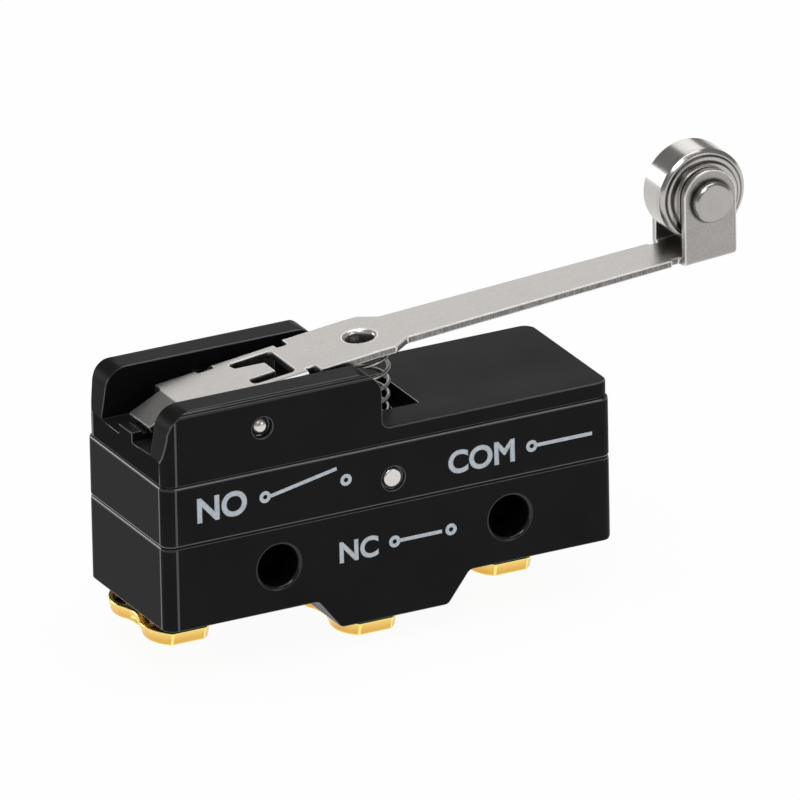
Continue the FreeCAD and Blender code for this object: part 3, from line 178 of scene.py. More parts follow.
class Finish:
    """A material: its node tree, and short ways to add nodes to it."""

    def __init__(self, name, constants):
        self.material = bpy.data.materials.new(name)
        self.material.use_nodes = True
        self.tree = self.material.node_tree
        self.shader = self.tree.nodes["Principled BSDF"]
        for socket, constant in constants.items():
            self.shader.inputs[socket].default_value = constant

    def node(self, kind, settings, sockets, output=0):
        """Adds a node of a kind, with its settings and the values or links of its sockets."""
        made = self.tree.nodes.new(kind)
        for key, setting in settings.items():
            setattr(made, key, setting)
        for key, value in sockets.items():
            if isinstance(value, Signal):
                self.tree.links.new(value.socket, made.inputs[key])
            else:
                made.inputs[key].default_value = value
        return Signal(self, made.outputs[output])

    def place(self, centre=(0, 0, 0), stretch=(1, 1, 1)):
        """Object coordinates, measured from a centre and stretched along the axes."""
        where = self.node("ShaderNodeTexCoord", {}, {}, "Object")
        shift = tuple(-spot * factor for spot, factor in zip(centre, stretch))
        return self.node("ShaderNodeMapping", {}, {
            "Vector": where, "Location": shift, "Scale": stretch})

    def along(self, vector, axis):
        """A vector's share along an axis."""
        return self.node("ShaderNodeSeparateXYZ", {}, {"Vector": vector}, axis)

    def from_axis(self, where):
        """The distance of a place from an axis that runs from front to back."""
        only_xz = {0: where, 1: (1, 0, 1)}
        flat = self.node("ShaderNodeVectorMath", {"operation": "MULTIPLY"}, only_xz)
        return self.node("ShaderNodeVectorMath", {"operation": "LENGTH"}, {0: flat}, "Value")

    def ring(self, centre, radius, width):
        """One on a circle round an axis that runs from front to back, none at a width from it."""
        away = self.from_axis(self.place(centre)) - radius
        return self.ramp(away * away, 0.0, width * width, 1.0, 0.0)

    def noise(self, where, scale, detail=3.0, roughness=0.5):
        """An even noise, whose scale is in lumps to the metre."""
        return self.node("ShaderNodeTexNoise", {}, {
            "Vector": where, "Scale": scale, "Detail": detail, "Roughness": roughness})

    def ramp(self, signal, low, high, first=0.0, last=1.0):
        """A signal spread from first to last between its low and high values."""
        return self.node("ShaderNodeMapRange", {"clamp": True}, {
            "Value": signal, "From Min": low, "From Max": high, "To Min": first, "To Max": last})

    def spread(self, noise, first=0.0, last=1.0):
        """A noise spread from first to last over its usual range."""
        return self.ramp(noise, NOISE_LOW, NOISE_HIGH, first, last)

    def mix(self, share, first, second):
        """A colour between two colours. A Mix node's colours are its sockets 6 and 7, and 2."""
        ends = {6: first, 7: second}
        plain = {key: (*end, 1) for key, end in ends.items() if not isinstance(end, Signal)}
        return self.node("ShaderNodeMix", {"data_type": "RGBA"}, {0: share, **ends, **plain}, 2)

    def bump(self, height, depth, under=None):
        """A normal from a height signal whose full swing is a depth in metres."""
        sockets = {"Height": height, "Distance": depth, "Strength": 1.0}
        if under is not None:
            sockets["Normal"] = under
        return self.node("ShaderNodeBump", {}, sockets)

    def wear(self, **signals):
        """Links signals to the shader's sockets, named with underscores for spaces."""
        for name, signal in signals.items():
            self.tree.links.new(signal.socket, self.shader.inputs[name.replace("_", " ").title()])
        return self.material


def outer_radius(node):
    """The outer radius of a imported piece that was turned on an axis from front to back."""
    low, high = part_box(node)
    return (high.z - low.z) / 2


def shade(colour, factor):
    """A colour made darker or lighter, up to white."""
    return tuple(min(channel * factor, 1.0) for channel in colour)


def moulded_plastic(name, colour, gloss=0.025, coat=0.0, relief=0.9e-6):
    """Moulded phenolic: nearly even, with faint flow clouds, a fine skin and a share of polish."""
    finish = Finish(name, {"Specular IOR Level": gloss, "Coat Weight": coat,
                           "Coat Roughness": 0.1, "Coat IOR": 1.68})
    where = finish.place()
    cloud = finish.noise(where, 160, 4, 0.6)
    skin = finish.noise(where, 2600, 2, 0.5)
    grain = finish.noise(where, 9000, 1, 0.5)
    return finish.wear(
        base_color=finish.mix(cloud, shade(colour, 0.8), shade(colour, 1.35)),
        roughness=finish.spread(cloud * 0.6 + grain * 0.4, 0.27, 0.36),
        normal=finish.bump(skin * 0.7 + grain * 0.3, relief))


def rolled_steel(name, colour, sheared_to):
    """Satin stainless sheet: fine speckle and faint rolling grain. Faces to the front and back
    are sheared and streaky up to a place along the switch, with painted shade that darkens them,
    and plain with painted shade beyond it, where a painted shadow lies round the rivet's head."""
    finish = Finish(name, {"Metallic": 1.0})
    where = finish.place()
    speckle = finish.noise(where, 4200, 3, 0.8)
    grain = finish.noise(finish.place(stretch=(500, 5200, 5200)), 1.0, 3, 0.6)
    cloud = finish.noise(where, 300, 3, 0.55)
    shear = finish.noise(finish.place(stretch=(6000, 6000, 900)), 1.0, 2, 0.6)
    facing = finish.along(finish.node("ShaderNodeNewGeometry", {}, {}, "Normal"), "Y")
    sideways = finish.ramp(facing * facing, 0.6, 0.9)
    before = finish.ramp(finish.along(where, "X"), sheared_to - 0.2 * MM, sheared_to, 1.0, 0.0)
    edge = sideways * before
    # painted shade on the front and back faces beyond the sheared zone, the clevis' ears
    ear_shade = sideways - edge
    tone = finish.ramp(speckle * 0.6 + cloud * 0.25 + grain * 0.15, 0.32, 0.68)
    streaks = finish.ramp(shear, 0.35, 0.65)
    # painted contact shadow: a dark ring on the lever round the rivet's head
    head_shadow = finish.ring(AXLE, outer_radius("roller_rivet"), 2 * SHADE_LINE)
    # painted shade, with real shear streaks: the sheared front and back faces are much darker than the top
    sheared = finish.mix(streaks, shade(colour, 0.25), shade(colour, 0.62))
    skin = finish.mix(tone, shade(colour, 0.74), shade(colour, 1.2))
    skin = finish.mix(edge * 0.9, skin, sheared)
    skin = finish.mix(ear_shade * 0.22, skin, shade(colour, 0.3))
    skin = finish.mix(head_shadow * 0.95, skin, shade(colour, 0.1))
    return finish.wear(
        base_color=skin,
        roughness=finish.spread(speckle * 0.6 + cloud * 0.4, 0.27, 0.4),
        normal=finish.bump(shear * edge, 4e-6, finish.bump(speckle, 1.5e-6)))


def turned_steel(name, colour, centre, low=0.14, high=0.26, groove=1.0e-6, steps=()):
    """Turned steel: fine tool rings round an axis that runs from front to back, and painted shade
    as dark lines in the corners of its steps."""
    finish = Finish(name, {"Metallic": 1.0})
    where = finish.place(centre)
    turned = finish.node("ShaderNodeCombineXYZ", {}, {
        "X": finish.from_axis(where), "Y": finish.along(where, "Y")})
    rings = finish.noise(turned, 9000, 4, 0.65)
    cuts = finish.noise(turned, 1800, 1, 0.5)
    cloud = finish.noise(where, 420, 3, 0.55)
    tone = finish.ramp(rings * 0.4 + cuts * 0.35 + cloud * 0.25, 0.33, 0.67)
    skin = finish.mix(tone, shade(colour, 0.86), shade(colour, 1.05))
    for step in steps:
        # painted shade: a dark line at the corner of each step
        skin = finish.mix(finish.ring(centre, step, SHADE_LINE) * 0.9, skin, shade(colour, 0.1))
    return finish.wear(
        base_color=skin,
        roughness=finish.spread(rings * 0.6 + cloud * 0.4, low, high),
        normal=finish.bump(rings, groove))


def pressed_brass(name, colour, tarnish=0.5, foot=None, rim=None):
    """Bright pressed brass with a little tarnish in its clouds, and where it has a foot and a
    rim, painted shade that makes it darker towards its foot."""
    finish = Finish(name, {"Metallic": 1.0})
    where = finish.place()
    cloud = finish.noise(where, 380, 4, 0.6)
    grain = finish.noise(finish.place(stretch=(5200, 500, 5200)), 1.0, 3, 0.6)
    tone = finish.spread(cloud * 0.7 + grain * 0.3)
    if foot is not None:
        # painted shade: darker towards the foot and lighter towards the rim, by height alone
        tone = tone * 0.3 + finish.ramp(finish.along(where, "Z"), foot, rim, 0.0, 0.7)
    losses = (0.2, 0.35, 0.55)
    dull = tuple(channel * (1 - loss * tarnish) for channel, loss in zip(colour, losses))
    return finish.wear(
        base_color=finish.mix(tone, dull, colour),
        roughness=finish.spread(cloud * 0.5 + grain * 0.5, 0.18, 0.32),
        normal=finish.bump(grain, 1.5e-6))


def drawn_wire(name, colour):
    """Spring wire with a drawn, slightly dull skin."""
    finish = Finish(name, {"Metallic": 1.0})
    where = finish.place()
    cloud = finish.noise(where, 900, 4, 0.6)
    return finish.wear(
        base_color=finish.mix(cloud, shade(colour, 0.7), colour),
        roughness=finish.spread(cloud, 0.22, 0.38),
        normal=finish.bump(finish.noise(where, 6000, 2), 1e-6))


def printed_ink(name, colour):
    """Screen-printed ink, a little thin in places."""
    finish = Finish(name, {"Specular IOR Level": 0.3})
    where = finish.place()
    cover = finish.noise(where, 2200, 4, 0.6)
    return finish.wear(
        base_color=finish.mix(finish.ramp(cover, 0.35, 0.6), shade(colour, 0.82), colour),
        roughness=finish.spread(cover, 0.42, 0.58),
        normal=finish.bump(finish.noise(where, 7000, 2), 1.5e-6))


def sizes():
    """The sizes of the finishing work, as set in the scene."""
    return bpy.context.scene.switch_sizes


def colours():
    """The colours of the finishes, as set in the scene."""
    return bpy.context.scene.switch_colours


def only(piece):
    """Makes a piece the only selected and active one."""
    bpy.ops.object.select_all(action="DESELECT")
    piece.select_set(True)
    bpy.context.view_layer.objects.active = piece


def body_of_node(node):
    """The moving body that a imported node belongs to."""
    bodies = frame["record"]["behaviour"]["bodies"]
    return next(body for body, nodes in bodies.items() if node in nodes)


def slot_of_node(node):
    """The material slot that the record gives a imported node."""
    parts = frame["record"]["subparts"]
    return next(part["material_slot"] for part in parts if part["node"] == node)


def paint(piece, material):
    """Gives a piece one material in all its slots."""
    if not piece.material_slots:
        piece.data.materials.append(material)
    for slot in piece.material_slots:
        slot.material = material


def settle(piece, node):
    """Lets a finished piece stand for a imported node, on the node's body."""
    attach(piece, body_of_node(node))
    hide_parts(node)
    slot_of_node(node)


def mark_edges(shape, also):
    """Marks for rounding the edges that turn sharply, and those whose two face normals and
    ends fit the rule where there is one."""
    normals = {}
    for face in shape.polygons:
        for key in face.edge_keys:
            normals.setdefault(key, []).append(face.normal.copy())
    weights = shape.attributes.new("bevel_weight_edge", "FLOAT", "EDGE")
    for edge in shape.edges:
        sides = normals.get(edge.key, [])
        if len(sides) != 2:
            continue
        ends = [shape.vertices[corner].co for corner in edge.vertices]
        if sides[0].angle(sides[1]) > SHARP or (also and also(sides, ends)):
            weights.data[edge.index].value = 1.0


def finished_copy(node, name, edge, material, steps=2, edge_polish_and_highlight=None, also=None):
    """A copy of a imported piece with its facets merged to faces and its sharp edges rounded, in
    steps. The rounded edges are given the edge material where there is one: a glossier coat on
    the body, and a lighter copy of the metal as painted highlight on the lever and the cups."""
    piece = bpy.data.objects.new(name, frame["nodes"][node].data.copy())
    bpy.context.scene.collection.objects.link(piece)
    only(piece)
    bpy.ops.object.mode_set(mode="EDIT")
    bpy.ops.mesh.select_all(action="SELECT")
    bpy.ops.mesh.remove_doubles(threshold=MERGE)
    bpy.ops.mesh.customdata_custom_splitnormals_clear()
    bpy.ops.mesh.dissolve_limited(angle_limit=COPLANAR)
    bpy.ops.object.mode_set(mode="OBJECT")
    paint(piece, material)
    if edge_polish_and_highlight:
        piece.data.materials.append(edge_polish_and_highlight)
    mark_edges(piece.data, also)
    rounding = piece.modifiers.new("rounding", "BEVEL")
    rounding.width = edge
    rounding.segments = steps
    rounding.limit_method = "WEIGHT"
    rounding.use_clamp_overlap = False
    rounding.miter_outer = "MITER_ARC"
    rounding.material = len(piece.material_slots) - 1
    bpy.ops.object.modifier_apply(modifier=rounding.name)
    return piece


def smoothed(piece, node):
    """Shades a finished piece smooth across its rounded edges and lets it stand for its node."""
    only(piece)
    bpy.ops.object.shade_smooth_by_angle(angle=SHARP)
    flattening = piece.modifiers.new("flattening", "WEIGHTED_NORMAL")
    flattening.mode = "FACE_AREA"
    flattening.weight = 100
    flattening.keep_sharp = True
    bpy.ops.object.modifier_apply(modifier=flattening.name)
    settle(piece, node)


class SWITCH_OT_body(bpy.types.Operator):
    """Finishes the three moulded layers of the body"""
    bl_idname = "switch.body"
    bl_label = "Moulded body"

    level = 0.01                # a normal's share along an axis that counts as none
    upright = 0.5               # a share along Z that an upright face stays under
    leaning = 0.9               # and the share along an axis that counts as facing that way
    bore_room = 0.1 * MM        # the walls of a mounting hole lie this near to its radius
    mouth_room = 0.5 * MM       # and its mouth this near
    channel_half = 5.5 * MM     # the lever's channel reaches this far from the mid-plane
    channel_end = -1.5 * MM     # and this far along the body
    cutter_room = 1.0 * MM      # the cutter stands out beyond the housing's ends and foot
    slip = 0.001 * MM           # and this little beyond its sides and top, to share no face
    rim_steps = 8               # faces across the rounding of a rim

    def beside_corner(self, sides, ends):
        """Whether an edge parts a flat side or the leaning end from a rounded left corner."""
        flat = [side for side in sides if min(abs(side.x), abs(side.y)) < self.level
                and max(abs(side.x), abs(side.y)) > self.leaning]
        round_ones = [side for side in sides if min(abs(side.x), abs(side.y)) > self.level
                      and abs(side.z) < self.level]
        return len(flat) == 1 and len(round_ones) == 1 and ends[0].x < PIVOT.x

    def dull_far_corner(self, piece):
        """Takes the glossy coat off the upright corner at the far left, which catches no light."""
        for face in piece.data.polygons:
            normal = face.normal
            if abs(normal.z) < self.level and normal.y > self.level and normal.x < -self.level:
                face.material_index = 0

    def shade_channel(self, piece, inside):
        """Paints shade on the upright faces inside the lever's channel: a darker, less glossy black."""
        piece.data.materials.append(inside)
        for face in piece.data.polygons:
            centre = face.center
            if (abs(centre.y) < self.channel_half and centre.x < self.channel_end
                    and abs(face.normal.z) < self.upright and face.material_index == 0):
                face.material_index = len(piece.material_slots) - 1

    def shade_and_polish_bores(self, piece, bore, mouth):
        """Paints shade on the walls of the mounting holes, as a darker black, and gives their mouths a glossier
        coat.
        """
        piece.data.materials.append(bore)
        piece.data.materials.append(mouth)
        mounts = frame["record"]["mounts"]
        holes = next(mount["dims"] for mount in mounts if mount["kind"] == "bolt_pattern")
        half = holes["spacing_x_mm"] / 2 * MM
        radius = holes["hole_r_mm"] * MM
        for face in piece.data.polygons:
            away = math.hypot(abs(face.center.x) - half, face.center.z)
            if away < radius + self.bore_room and abs(face.normal.y) < self.level:
                face.material_index = len(piece.material_slots) - 2
            elif away < radius + self.mouth_room and abs(face.normal.y) < 1 - self.level:
                face.material_index = len(piece.material_slots) - 1

    def round_rims(self, piece, edge_polish_and_highlight):
        """Rounds the outer top rims of the walls, by keeping what a rounded block covers."""
        low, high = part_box("top_housing")
        bpy.ops.mesh.primitive_cube_add(size=1)
        block = bpy.context.object
        low = low - Vector((self.cutter_room, self.slip, self.cutter_room))
        high = high + Vector((self.cutter_room, self.slip, self.slip))
        span = high - low
        block.data.transform(Matrix.Translation((low + high) / 2) @ Matrix.Diagonal((*span, 1)))
        paint(block, edge_polish_and_highlight)
        middle = (low.z + high.z) / 2
        for edge in block.data.edges:
            first, second = (block.data.vertices[end].co for end in edge.vertices)
            edge.select = min(first.z, second.z) > middle and abs(first.y - second.y) < self.slip
        only(block)
        bpy.context.tool_settings.mesh_select_mode = (False, True, False)
        bpy.ops.object.mode_set(mode="EDIT")
        bpy.ops.mesh.bevel(offset=sizes().wall_edge, segments=self.rim_steps, affect="EDGES")
        bpy.ops.object.mode_set(mode="OBJECT")
        only(piece)
        cutting = piece.modifiers.new("cutting", "BOOLEAN")
        cutting.operation = "INTERSECT"
        cutting.solver = "EXACT"
        cutting.material_mode = "TRANSFER"
        cutting.object = block
        bpy.ops.object.modifier_apply(modifier=cutting.name)
        bpy.data.objects.remove(block)

    def execute(self, context):
        black = colours().body
        material = moulded_plastic("body black", black)
        edge_polish_and_highlight = moulded_plastic("body edge", black, coat=1.0)
        # painted shade: a much darker black for the walls of the mounting holes
        bore = moulded_plastic("body bore", shade(black, 0.3), gloss=0.0, coat=0.25, relief=1e-7)
        mouth = moulded_plastic("body mouth", black, coat=0.4)
        # painted shade: a darker black for the inside of the lever's channel
        inside = moulded_plastic("body inside", shade(black, 0.5), gloss=0.006)
        rim = moulded_plastic("body rim", black, coat=0.52)
        for node in ("lower_case", "middle_case", "top_housing"):
            piece = finished_copy(node, node + "_moulding", sizes().moulded_edge, material,
                                  edge_polish_and_highlight=edge_polish_and_highlight, also=self.beside_corner)
            self.dull_far_corner(piece)
            if node == "lower_case":
                self.shade_and_polish_bores(piece, bore, mouth)
            if node == "top_housing":
                self.shade_channel(piece, inside)
                self.round_rims(piece, rim)
            smoothed(piece, node)
        return {"FINISHED"}


class SWITCH_OT_pins(bpy.types.Operator):
    """Finishes the lever's pivot pin and the cross pin of the cover"""
    bl_idname = "switch.pins"
    bl_label = "Pins"

    brightness = 1.5            # painted highlight: of their steel, against the roller's

    def execute(self, context):
        for node in ("pivot_pin", "cover_pin"):
            low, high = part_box(node)
            bright = shade(colours().turned, self.brightness)
            material = turned_steel(node + " steel", bright, (low + high) / 2, 0.18, 0.3)
            smoothed(finished_copy(node, node + "_turned", sizes().turned_edge, material), node)
        return {"FINISHED"}


class SWITCH_OT_lever(bpy.types.Operator):
    """Finishes the folded steel lever"""
    bl_idname = "switch.lever"
    bl_label = "Lever"

    clevis_reach = 3.0 * MM     # the clevis' ears start this far before the roller's axis
    whole_reach = 100 * MM      # and the whole lever lies within this reach of it
    edge_highlight = 2.1                 # painted highlight: brightness of its rounded edges, against its faces

    def execute(self, context):
        steel = colours().steel
        material = rolled_steel("lever steel", steel, AXLE.x - self.clevis_reach)
        # painted highlight: the rounded edges are a much lighter copy of the steel
        edge_polish_and_highlight = rolled_steel("lever edge", shade(steel, self.edge_highlight), AXLE.x - self.whole_reach)
        piece = finished_copy("lever", "lever_sheet", sizes().sheet_edge, material, edge_polish_and_highlight=edge_polish_and_highlight)
        smoothed(piece, "lever")
        return {"FINISHED"}


class SWITCH_OT_roller(bpy.types.Operator):
    """Finishes the roller and the rivet that carries it"""
    bl_idname = "switch.roller"
    bl_label = "Roller and rivet"

    steps = (3.6 * MM, 4.15 * MM)   # radii of the hub and of the step under it, where painted shade lines lie
    edge_steps = 3                  # faces across a rounded edge

    def execute(self, context):
        # painted light and shade: the roller is a lighter and the rivet a darker copy of the same turned steel
        bright, dull = shade(colours().turned, 1.12), shade(colours().turned, 0.95)
        finishes = {
            "roller": turned_steel("roller steel", bright, AXLE, 0.16, 0.26, 0.7e-6, self.steps),
            "roller_rivet": turned_steel("rivet steel", dull, AXLE, 0.2, 0.32),
        }
        for node, material in finishes.items():
            edge = sizes().turned_edge
            smoothed(finished_copy(node, node + "_turned", edge, material, self.edge_steps), node)
        return {"FINISHED"}


class SWITCH_OT_spring(bpy.types.Operator):
    """Winds the return spring, with closed end coils that lie on the seat and under the lever"""
    bl_idname = "switch.spring"
    bl_label = "Return spring"

    points_per_turn = 20
    closed_share = 0.13         # share of the wire that lies flat at each end
    closed_wires = 3.05         # height of the closed coils at both ends, in wires
    wire = 0.42 * MM
    lead = 0.63                 # turns from the wire's lower end round to the roller's side
    taper = math.radians(1.9)   # the coil widens upwards by this slope
    crease = math.radians(50)   # edges that turn less than this are shaded smooth
    brightness = 1.15           # painted highlight: of its steel, against the roller's

    def centre_line(self, low, high):
        """The points of the wire's middle, from the seat up to the lever's plate."""
        centre = (low + high) / 2
        reach = high.y - self.wire / 2 - centre.y
        foot = reach - math.tan(self.taper) * (high.z - low.z)
        inner = high.z - low.z - self.closed_wires * self.wire
        turns = sizes().spring_turns + 1
        count = round(turns * self.points_per_turn)
        # The curve runs inside its control points, so they stand out by this much.
        shrink = (2 + math.cos(2 * math.pi / self.points_per_turn)) / 3
        for index in range(count + 1):
            share = index / count
            climb = (share - self.closed_share) / (1 - 2 * self.closed_share)
            climb = inner * min(1.0, max(0.0, climb))
            start = min(share / self.closed_share, 1.0)
            end = min((1 - share) / self.closed_share, 1.0)
            height = low.z + self.wire * (1.5 + start - end) + climb
            angle = 2 * math.pi * (turns * share - self.lead)
            radius = (foot + (reach - foot) * share) / shrink
            across = radius * math.cos(angle)
            tilt = max(0.0, (share - 0.5) * 2) ** 2
            height += tilt * (foot + across) * math.tan(PLATE_SLOPE)
            yield centre.x + across, centre.y + radius * math.sin(angle), height, 1

    def execute(self, context):
        low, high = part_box("return_spring")
        points = list(self.centre_line(low, high))
        bpy.ops.curve.primitive_nurbs_path_add(location=(0, 0, 0))
        wound = context.object
        wound.name = "return_spring_coil"
        wound.data.splines.clear()
        spline = wound.data.splines.new("NURBS")
        spline.points.add(len(points) - 1)
        for point, place in zip(spline.points, points):
            point.co = place
        spline.use_endpoint_u = True
        spline.order_u = 4
        wound.data.dimensions = "3D"
        wound.data.resolution_u = 2
        wound.data.bevel_depth = self.wire / 2
        wound.data.bevel_resolution = 4
        wound.data.use_fill_caps = True
        only(wound)
        bpy.ops.object.convert(target="MESH")
        bpy.ops.object.shade_smooth_by_angle(angle=self.crease)
        paint(wound, drawn_wire("spring wire", shade(colours().turned, self.brightness)))
        settle(wound, "return_spring")
        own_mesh(wound)
        return {"FINISHED"}


class SWITCH_OT_terminals(bpy.types.Operator):
    """Finishes the brass cups, their screws and the strips inside"""
    bl_idname = "switch.terminals"
    bl_label = "Terminals"

    shaded_below = 0.25           # a cup's painted shade is deepest up to this share of its height
    lit_above = 0.6          # and it is painted lightest from this share of it

    def execute(self, context):
        brass = colours().brass
        strip = pressed_brass("strip brass", shade(brass, 0.85), 0.6)
        nickel = drawn_wire("screw nickel", colours().turned)
        # painted highlight: the cups' rounded edges are a lighter copy of their brass
        edge_highlight = pressed_brass("cup edge", shade(brass, 1.3), 0.2)
        for side in ("com", "no", "nc"):
            low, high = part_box(side + "_washer")
            foot, rim = low.lerp(high, self.shaded_below).z, low.lerp(high, self.lit_above).z
            # painted shade down the cup's side, with its tarnished tone deepened for it
            cup = pressed_brass(side + " cup brass", brass, 1.1, foot, rim)
            # Ending of the node's name, of the piece's, edge, material, steps and painted edge highlight.
            parts = (
                ("_washer", "_cup", sizes().cup_edge, cup, 3, edge_highlight),
                ("_terminal", "_strip", sizes().sheet_edge, strip, 2, None),
                ("_screw", "_screw_cut", sizes().turned_edge, nickel, 2, None),
            )
            for ending, new_ending, *work in parts:
                smoothed(finished_copy(side + ending, side + new_ending, *work), side + ending)
        return {"FINISHED"}


class SWITCH_OT_mechanism(bpy.types.Operator):
    """Finishes the plunger, the blade, the contacts and the rivet inside the body"""
    bl_idname = "switch.mechanism"
    bl_label = "Mechanism"

    def execute(self, context):
        silver = drawn_wire("contact silver", (0.85, 0.84, 0.82))
        copper = pressed_brass("blade copper", (0.78, 0.42, 0.26), 0.3)
        brass = pressed_brass("rivet brass", shade(colours().brass, 0.9), 0.5)
        finishes = {
            "plunger": moulded_plastic("plunger dark", (0.008, 0.005, 0.005)),
            "snap_blade": copper,
            "moving_contact": silver,
            "no_contact": silver,
            "nc_contact": silver,
            "blade_rivet": brass,
            "blade_saddle": brass,
        }
        for node, material in finishes.items():
            paint(frame["nodes"][node], material)
        return {"FINISHED"}


class SWITCH_OT_marks(bpy.types.Operator):
    """Prints the terminal names and their contact symbols on the front of the body"""
    bl_idname = "switch.marks"
    bl_label = "Printed marks"

    bold = 0.034                # how far the letters' outlines are set out, for their height of 1
    line = 0.38 * MM            # width of a drawn line
    ring = 0.62 * MM            # radius of a terminal ring
    symbol_gap = 0.5            # between a word and its symbol, in heights of its capitals
    # Of each mark: word, left end and baseline in the frame, height of its capitals, length in
    # all, and how far its blade is lifted, or None where it is a terminal alone. Millimetres.
    marks = (
        ("NO", -21.5, 6.3, 2.7, 16.9, 1.4),
        ("NC", -6.1, -1.1, 2.3, 12.9, 0.0),
        ("COM", 6.0, 5.8, 2.5, 15.9, None),
    )

    def stand_up(self, piece):
        """Stands a flat drawing up against the front face, a little proud of it."""
        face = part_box("middle_case")[0].y
        quarter = Matrix.Rotation(math.radians(90), 4, "X")
        piece.data.transform(Matrix.Translation((0, face, 0)) @ quarter)

    def word(self, text, left, base, height):
        """A bold word lying flat, and how far it reaches to the right."""
        bpy.ops.object.text_add(location=(0, 0, 0))
        word = bpy.context.object
        word.data.body = text
        word.data.bevel_depth = self.bold
        word.data.bevel_resolution = 0
        only(word)
        bpy.ops.object.convert(target="MESH")
        word = bpy.context.object
        corners = [vertex.co for vertex in word.data.vertices]
        low = Vector(min(spot[axis] for spot in corners) for axis in range(3))
        high = Vector(max(spot[axis] for spot in corners) for axis in range(3))
        factor = height / (high.y - low.y)
        flatten = Matrix.Diagonal((factor, factor, sizes().print_proud / (high.z - low.z), 1))
        spot = Matrix.Translation((left, base, 0))
        word.data.transform(spot @ flatten @ Matrix.Translation(-low))
        return word, left + factor * (high.x - low.x)

    def circle(self, across, up):
        """A terminal's ring."""
        bpy.ops.mesh.primitive_circle_add(vertices=40, radius=self.ring, fill_type="NGON",
                                          location=(across, up, 0))
        ring = bpy.context.object
        bpy.ops.object.transform_apply(location=True)
        bpy.ops.object.mode_set(mode="EDIT")
        bpy.ops.mesh.inset(thickness=self.line)
        bpy.ops.mesh.delete(type="FACE")
        bpy.ops.object.mode_set(mode="OBJECT")
        return ring

    def bar(self, start, end):
        """A line from one point to another."""
        run = Vector(end) - Vector(start)
        bpy.ops.mesh.primitive_plane_add(size=1)
        bar = bpy.context.object
        turn = Matrix.Rotation(math.atan2(run.y, run.x), 4, "Z")
        middle = (Vector(start) + Vector(end)) / 2
        size = Matrix.Diagonal((run.length, self.line, 1, 1))
        bar.data.transform(Matrix.Translation((middle.x, middle.y, 0)) @ turn @ size)
        return bar

    def joined(self, pieces):
        """Makes one piece of several."""
        bpy.ops.object.select_all(action="DESELECT")
        for piece in pieces:
            piece.select_set(True)
        bpy.context.view_layer.objects.active = pieces[0]
        bpy.ops.object.join()
        return bpy.context.object

    def symbol(self, left, right, level, lift):
        """A terminal ring with its lead, and where there is a contact, the blade and its ring."""
        rings = [self.circle(left + self.ring, level)]
        start = left + 2 * self.ring
        if lift is None:
            return rings + [self.bar((start, level), (right, level))]
        tip = (right - 2 * self.ring - self.line, level + lift)
        return rings + [self.bar((start, level), tip), self.circle(right - self.ring, level)]

    def execute(self, context):
        words, drawn = [], []
        for text, left, base, height, length, lift in self.marks:
            word, end = self.word(text, left * MM, base * MM, height * MM)
            words.append(word)
            level = (base + height / 2) * MM
            lift = lift if lift is None else lift * MM
            start = end + height * MM * self.symbol_gap
            drawn += self.symbol(start, (left + length) * MM, level, lift)
        lines = self.joined(drawn)
        depth = lines.modifiers.new("depth", "SOLIDIFY")
        depth.thickness = sizes().print_proud
        depth.offset = 1
        bpy.ops.object.modifier_apply(modifier=depth.name)
        marks = self.joined(words + [lines])
        marks.name = "printed_marks"
        self.stand_up(marks)
        paint(marks, printed_ink("printed ink", colours().ink))
        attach(marks, "case")
        return {"FINISHED"}


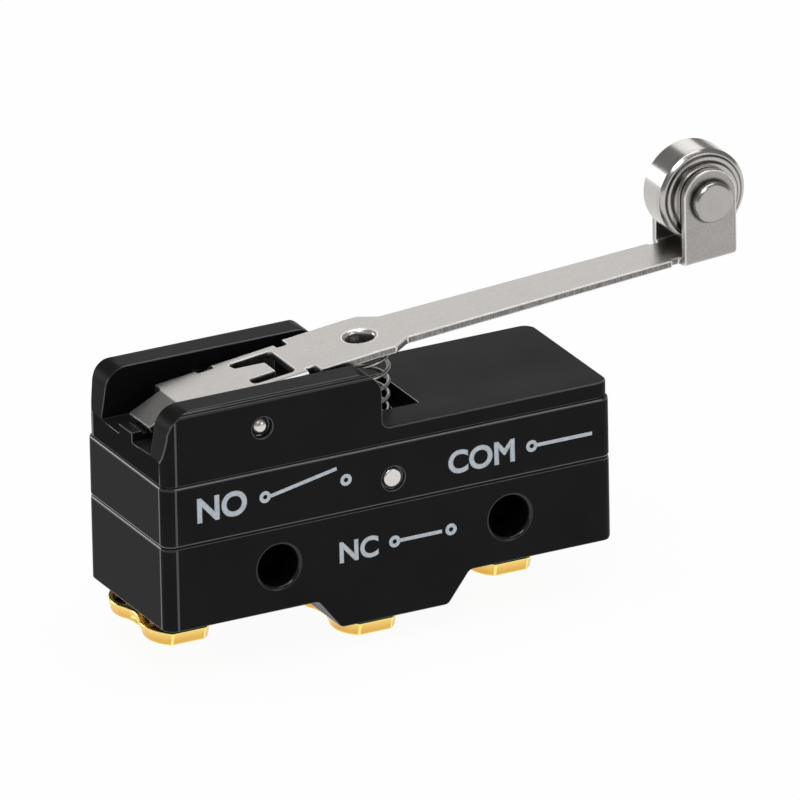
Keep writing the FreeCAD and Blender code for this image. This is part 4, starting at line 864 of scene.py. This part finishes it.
class SWITCH_OT_stage(bpy.types.Operator):
    """Sets the pale floor, the soft studio light and the camera"""
    bl_idname = "switch.stage"
    bl_label = "Stage"

    glow = 0.95             # share of the floor's white that its shadows can't take away
    floor_size = 8.0
    floor_gap = 0.02 * MM   # between the floor and the lowest point of the switch
    aim = Vector((0, 0, 0.01))      # the lamps face this point
    world_strength = 0.25
    # Name, place, size and power of each lamp.
    lamps = (
        ("top", (0.05, 0.0, 0.8), 0.6, 2.9),
        ("key", (-0.28, -0.42, 0.62), 0.3, 1.4),
        ("back", (0.26, 0.64, 0.37), 0.3, 0.4),
        ("left", (-0.43, 0.66, 0.15), 0.24, 0.7),
        ("front", (0.35, -0.68, 0.31), 0.32, 0.66),
    )

    def floor(self):
        """A plain white floor, which glows for all rays and so keeps its shadows pale."""
        level = CAD_BOX[0].z - self.floor_gap
        bpy.ops.mesh.primitive_plane_add(size=self.floor_size, location=(0, 0, level))
        floor = bpy.context.object
        floor.name = "floor"
        finish = Finish("floor", {
            "Roughness": 1.0, "Specular IOR Level": 0.0, "Emission Strength": 1.0})
        cloud = finish.noise(finish.place(), 2, 2)
        white = shade(colours().floor, 1 - self.glow)
        glow = shade(colours().floor, self.glow)
        paint(floor, finish.wear(
            base_color=finish.mix(cloud, shade(white, 0.98), white),
            emission_color=finish.mix(cloud, shade(glow, 0.998), glow)))

    def lamp(self, name, spot, size, power):
        """A square soft light at a spot, facing the switch."""
        data = bpy.data.lights.new(name, "AREA")
        data.size = size
        data.energy = power
        lamp = bpy.data.objects.new(name, data)
        bpy.context.scene.collection.objects.link(lamp)
        lamp.location = spot
        lamp.rotation_mode = "QUATERNION"
        lamp.rotation_quaternion = (self.aim - Vector(spot)).to_track_quat("-Z", "Y")

    def world(self):
        """An even, dim white surrounding."""
        world = bpy.data.worlds.new("studio")
        world.use_nodes = True
        bpy.context.scene.world = world
        background = world.node_tree.nodes["Background"]
        background.inputs["Color"].default_value = (1, 1, 1, 1)
        background.inputs["Strength"].default_value = self.world_strength

    def camera(self):
        """The photograph's view, from its fitted angles, distance and shift."""
        data = bpy.data.cameras.new("camera")
        data.lens = data.sensor_width * VIEW_SHARE
        data.clip_start = 0.1
        data.clip_end = 20
        camera = bpy.data.objects.new("camera", data)
        bpy.context.scene.collection.objects.link(camera)
        turn, rise, roll = VIEW_AZIMUTH, VIEW_ELEVATION, VIEW_ROLL
        right = Vector((math.cos(turn), math.sin(turn), 0))
        ahead = Vector((-math.sin(turn), math.cos(turn), 0))
        up = ahead * math.sin(rise) + Vector((0, 0, math.cos(rise)))
        back = right.cross(up)
        level_right = right * math.cos(roll) + up * math.sin(roll)
        level_up = up * math.cos(roll) - right * math.sin(roll)
        target = VIEW_TARGET + level_right * VIEW_SHIFT[0] + level_up * VIEW_SHIFT[1]
        facing = Matrix((level_right, level_up, back)).transposed().to_4x4()
        camera.matrix_world = Matrix.Translation(target + back * VIEW_DISTANCE) @ facing
        bpy.context.scene.camera = camera

    def execute(self, context):
        self.floor()
        self.world()
        for lamp in self.lamps:
            self.lamp(*lamp)
        self.camera()
        context.scene.view_settings.view_transform = "Standard"
        return {"FINISHED"}


class SWITCH_PT_looks(bpy.types.Panel):
    """Lists the sizes, the colours and the steps of the switch's looks"""
    bl_idname = "SWITCH_PT_looks"
    bl_label = "Lever switch"
    bl_space_type = "VIEW_3D"
    bl_region_type = "UI"
    bl_category = "Switch"

    def draw(self, context):
        for group in (context.scene.switch_sizes, context.scene.switch_colours):
            for name in group.__annotations__:
                self.layout.prop(group, name)
        for step in STEPS:
            self.layout.operator(step.bl_idname)


STEPS = (
    SWITCH_OT_body,
    SWITCH_OT_pins,
    SWITCH_OT_lever,
    SWITCH_OT_roller,
    SWITCH_OT_spring,
    SWITCH_OT_terminals,
    SWITCH_OT_mechanism,
    SWITCH_OT_marks,
    SWITCH_OT_stage,
)
CLASSES = (SwitchSizes, SwitchColours, *STEPS, SWITCH_PT_looks)


def register():
    """Adds the add-on's classes and its two groups of properties."""
    for cls in CLASSES:
        bpy.utils.register_class(cls)
    bpy.types.Scene.switch_sizes = bpy.props.PointerProperty(type=SwitchSizes)
    bpy.types.Scene.switch_colours = bpy.props.PointerProperty(type=SwitchColours)


def unregister():
    """Takes away what register adds."""
    del bpy.types.Scene.switch_colours
    del bpy.types.Scene.switch_sizes
    for cls in reversed(CLASSES):
        bpy.utils.unregister_class(cls)


def main():
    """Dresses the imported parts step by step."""
    register()
    bpy.ops.switch.body()
    bpy.ops.switch.pins()
    bpy.ops.switch.lever()
    bpy.ops.switch.roller()
    bpy.ops.switch.spring()
    bpy.ops.switch.terminals()
    bpy.ops.switch.mechanism()
    bpy.ops.switch.marks()
    bpy.ops.switch.stage()


if __name__ == "__main__":
    main()
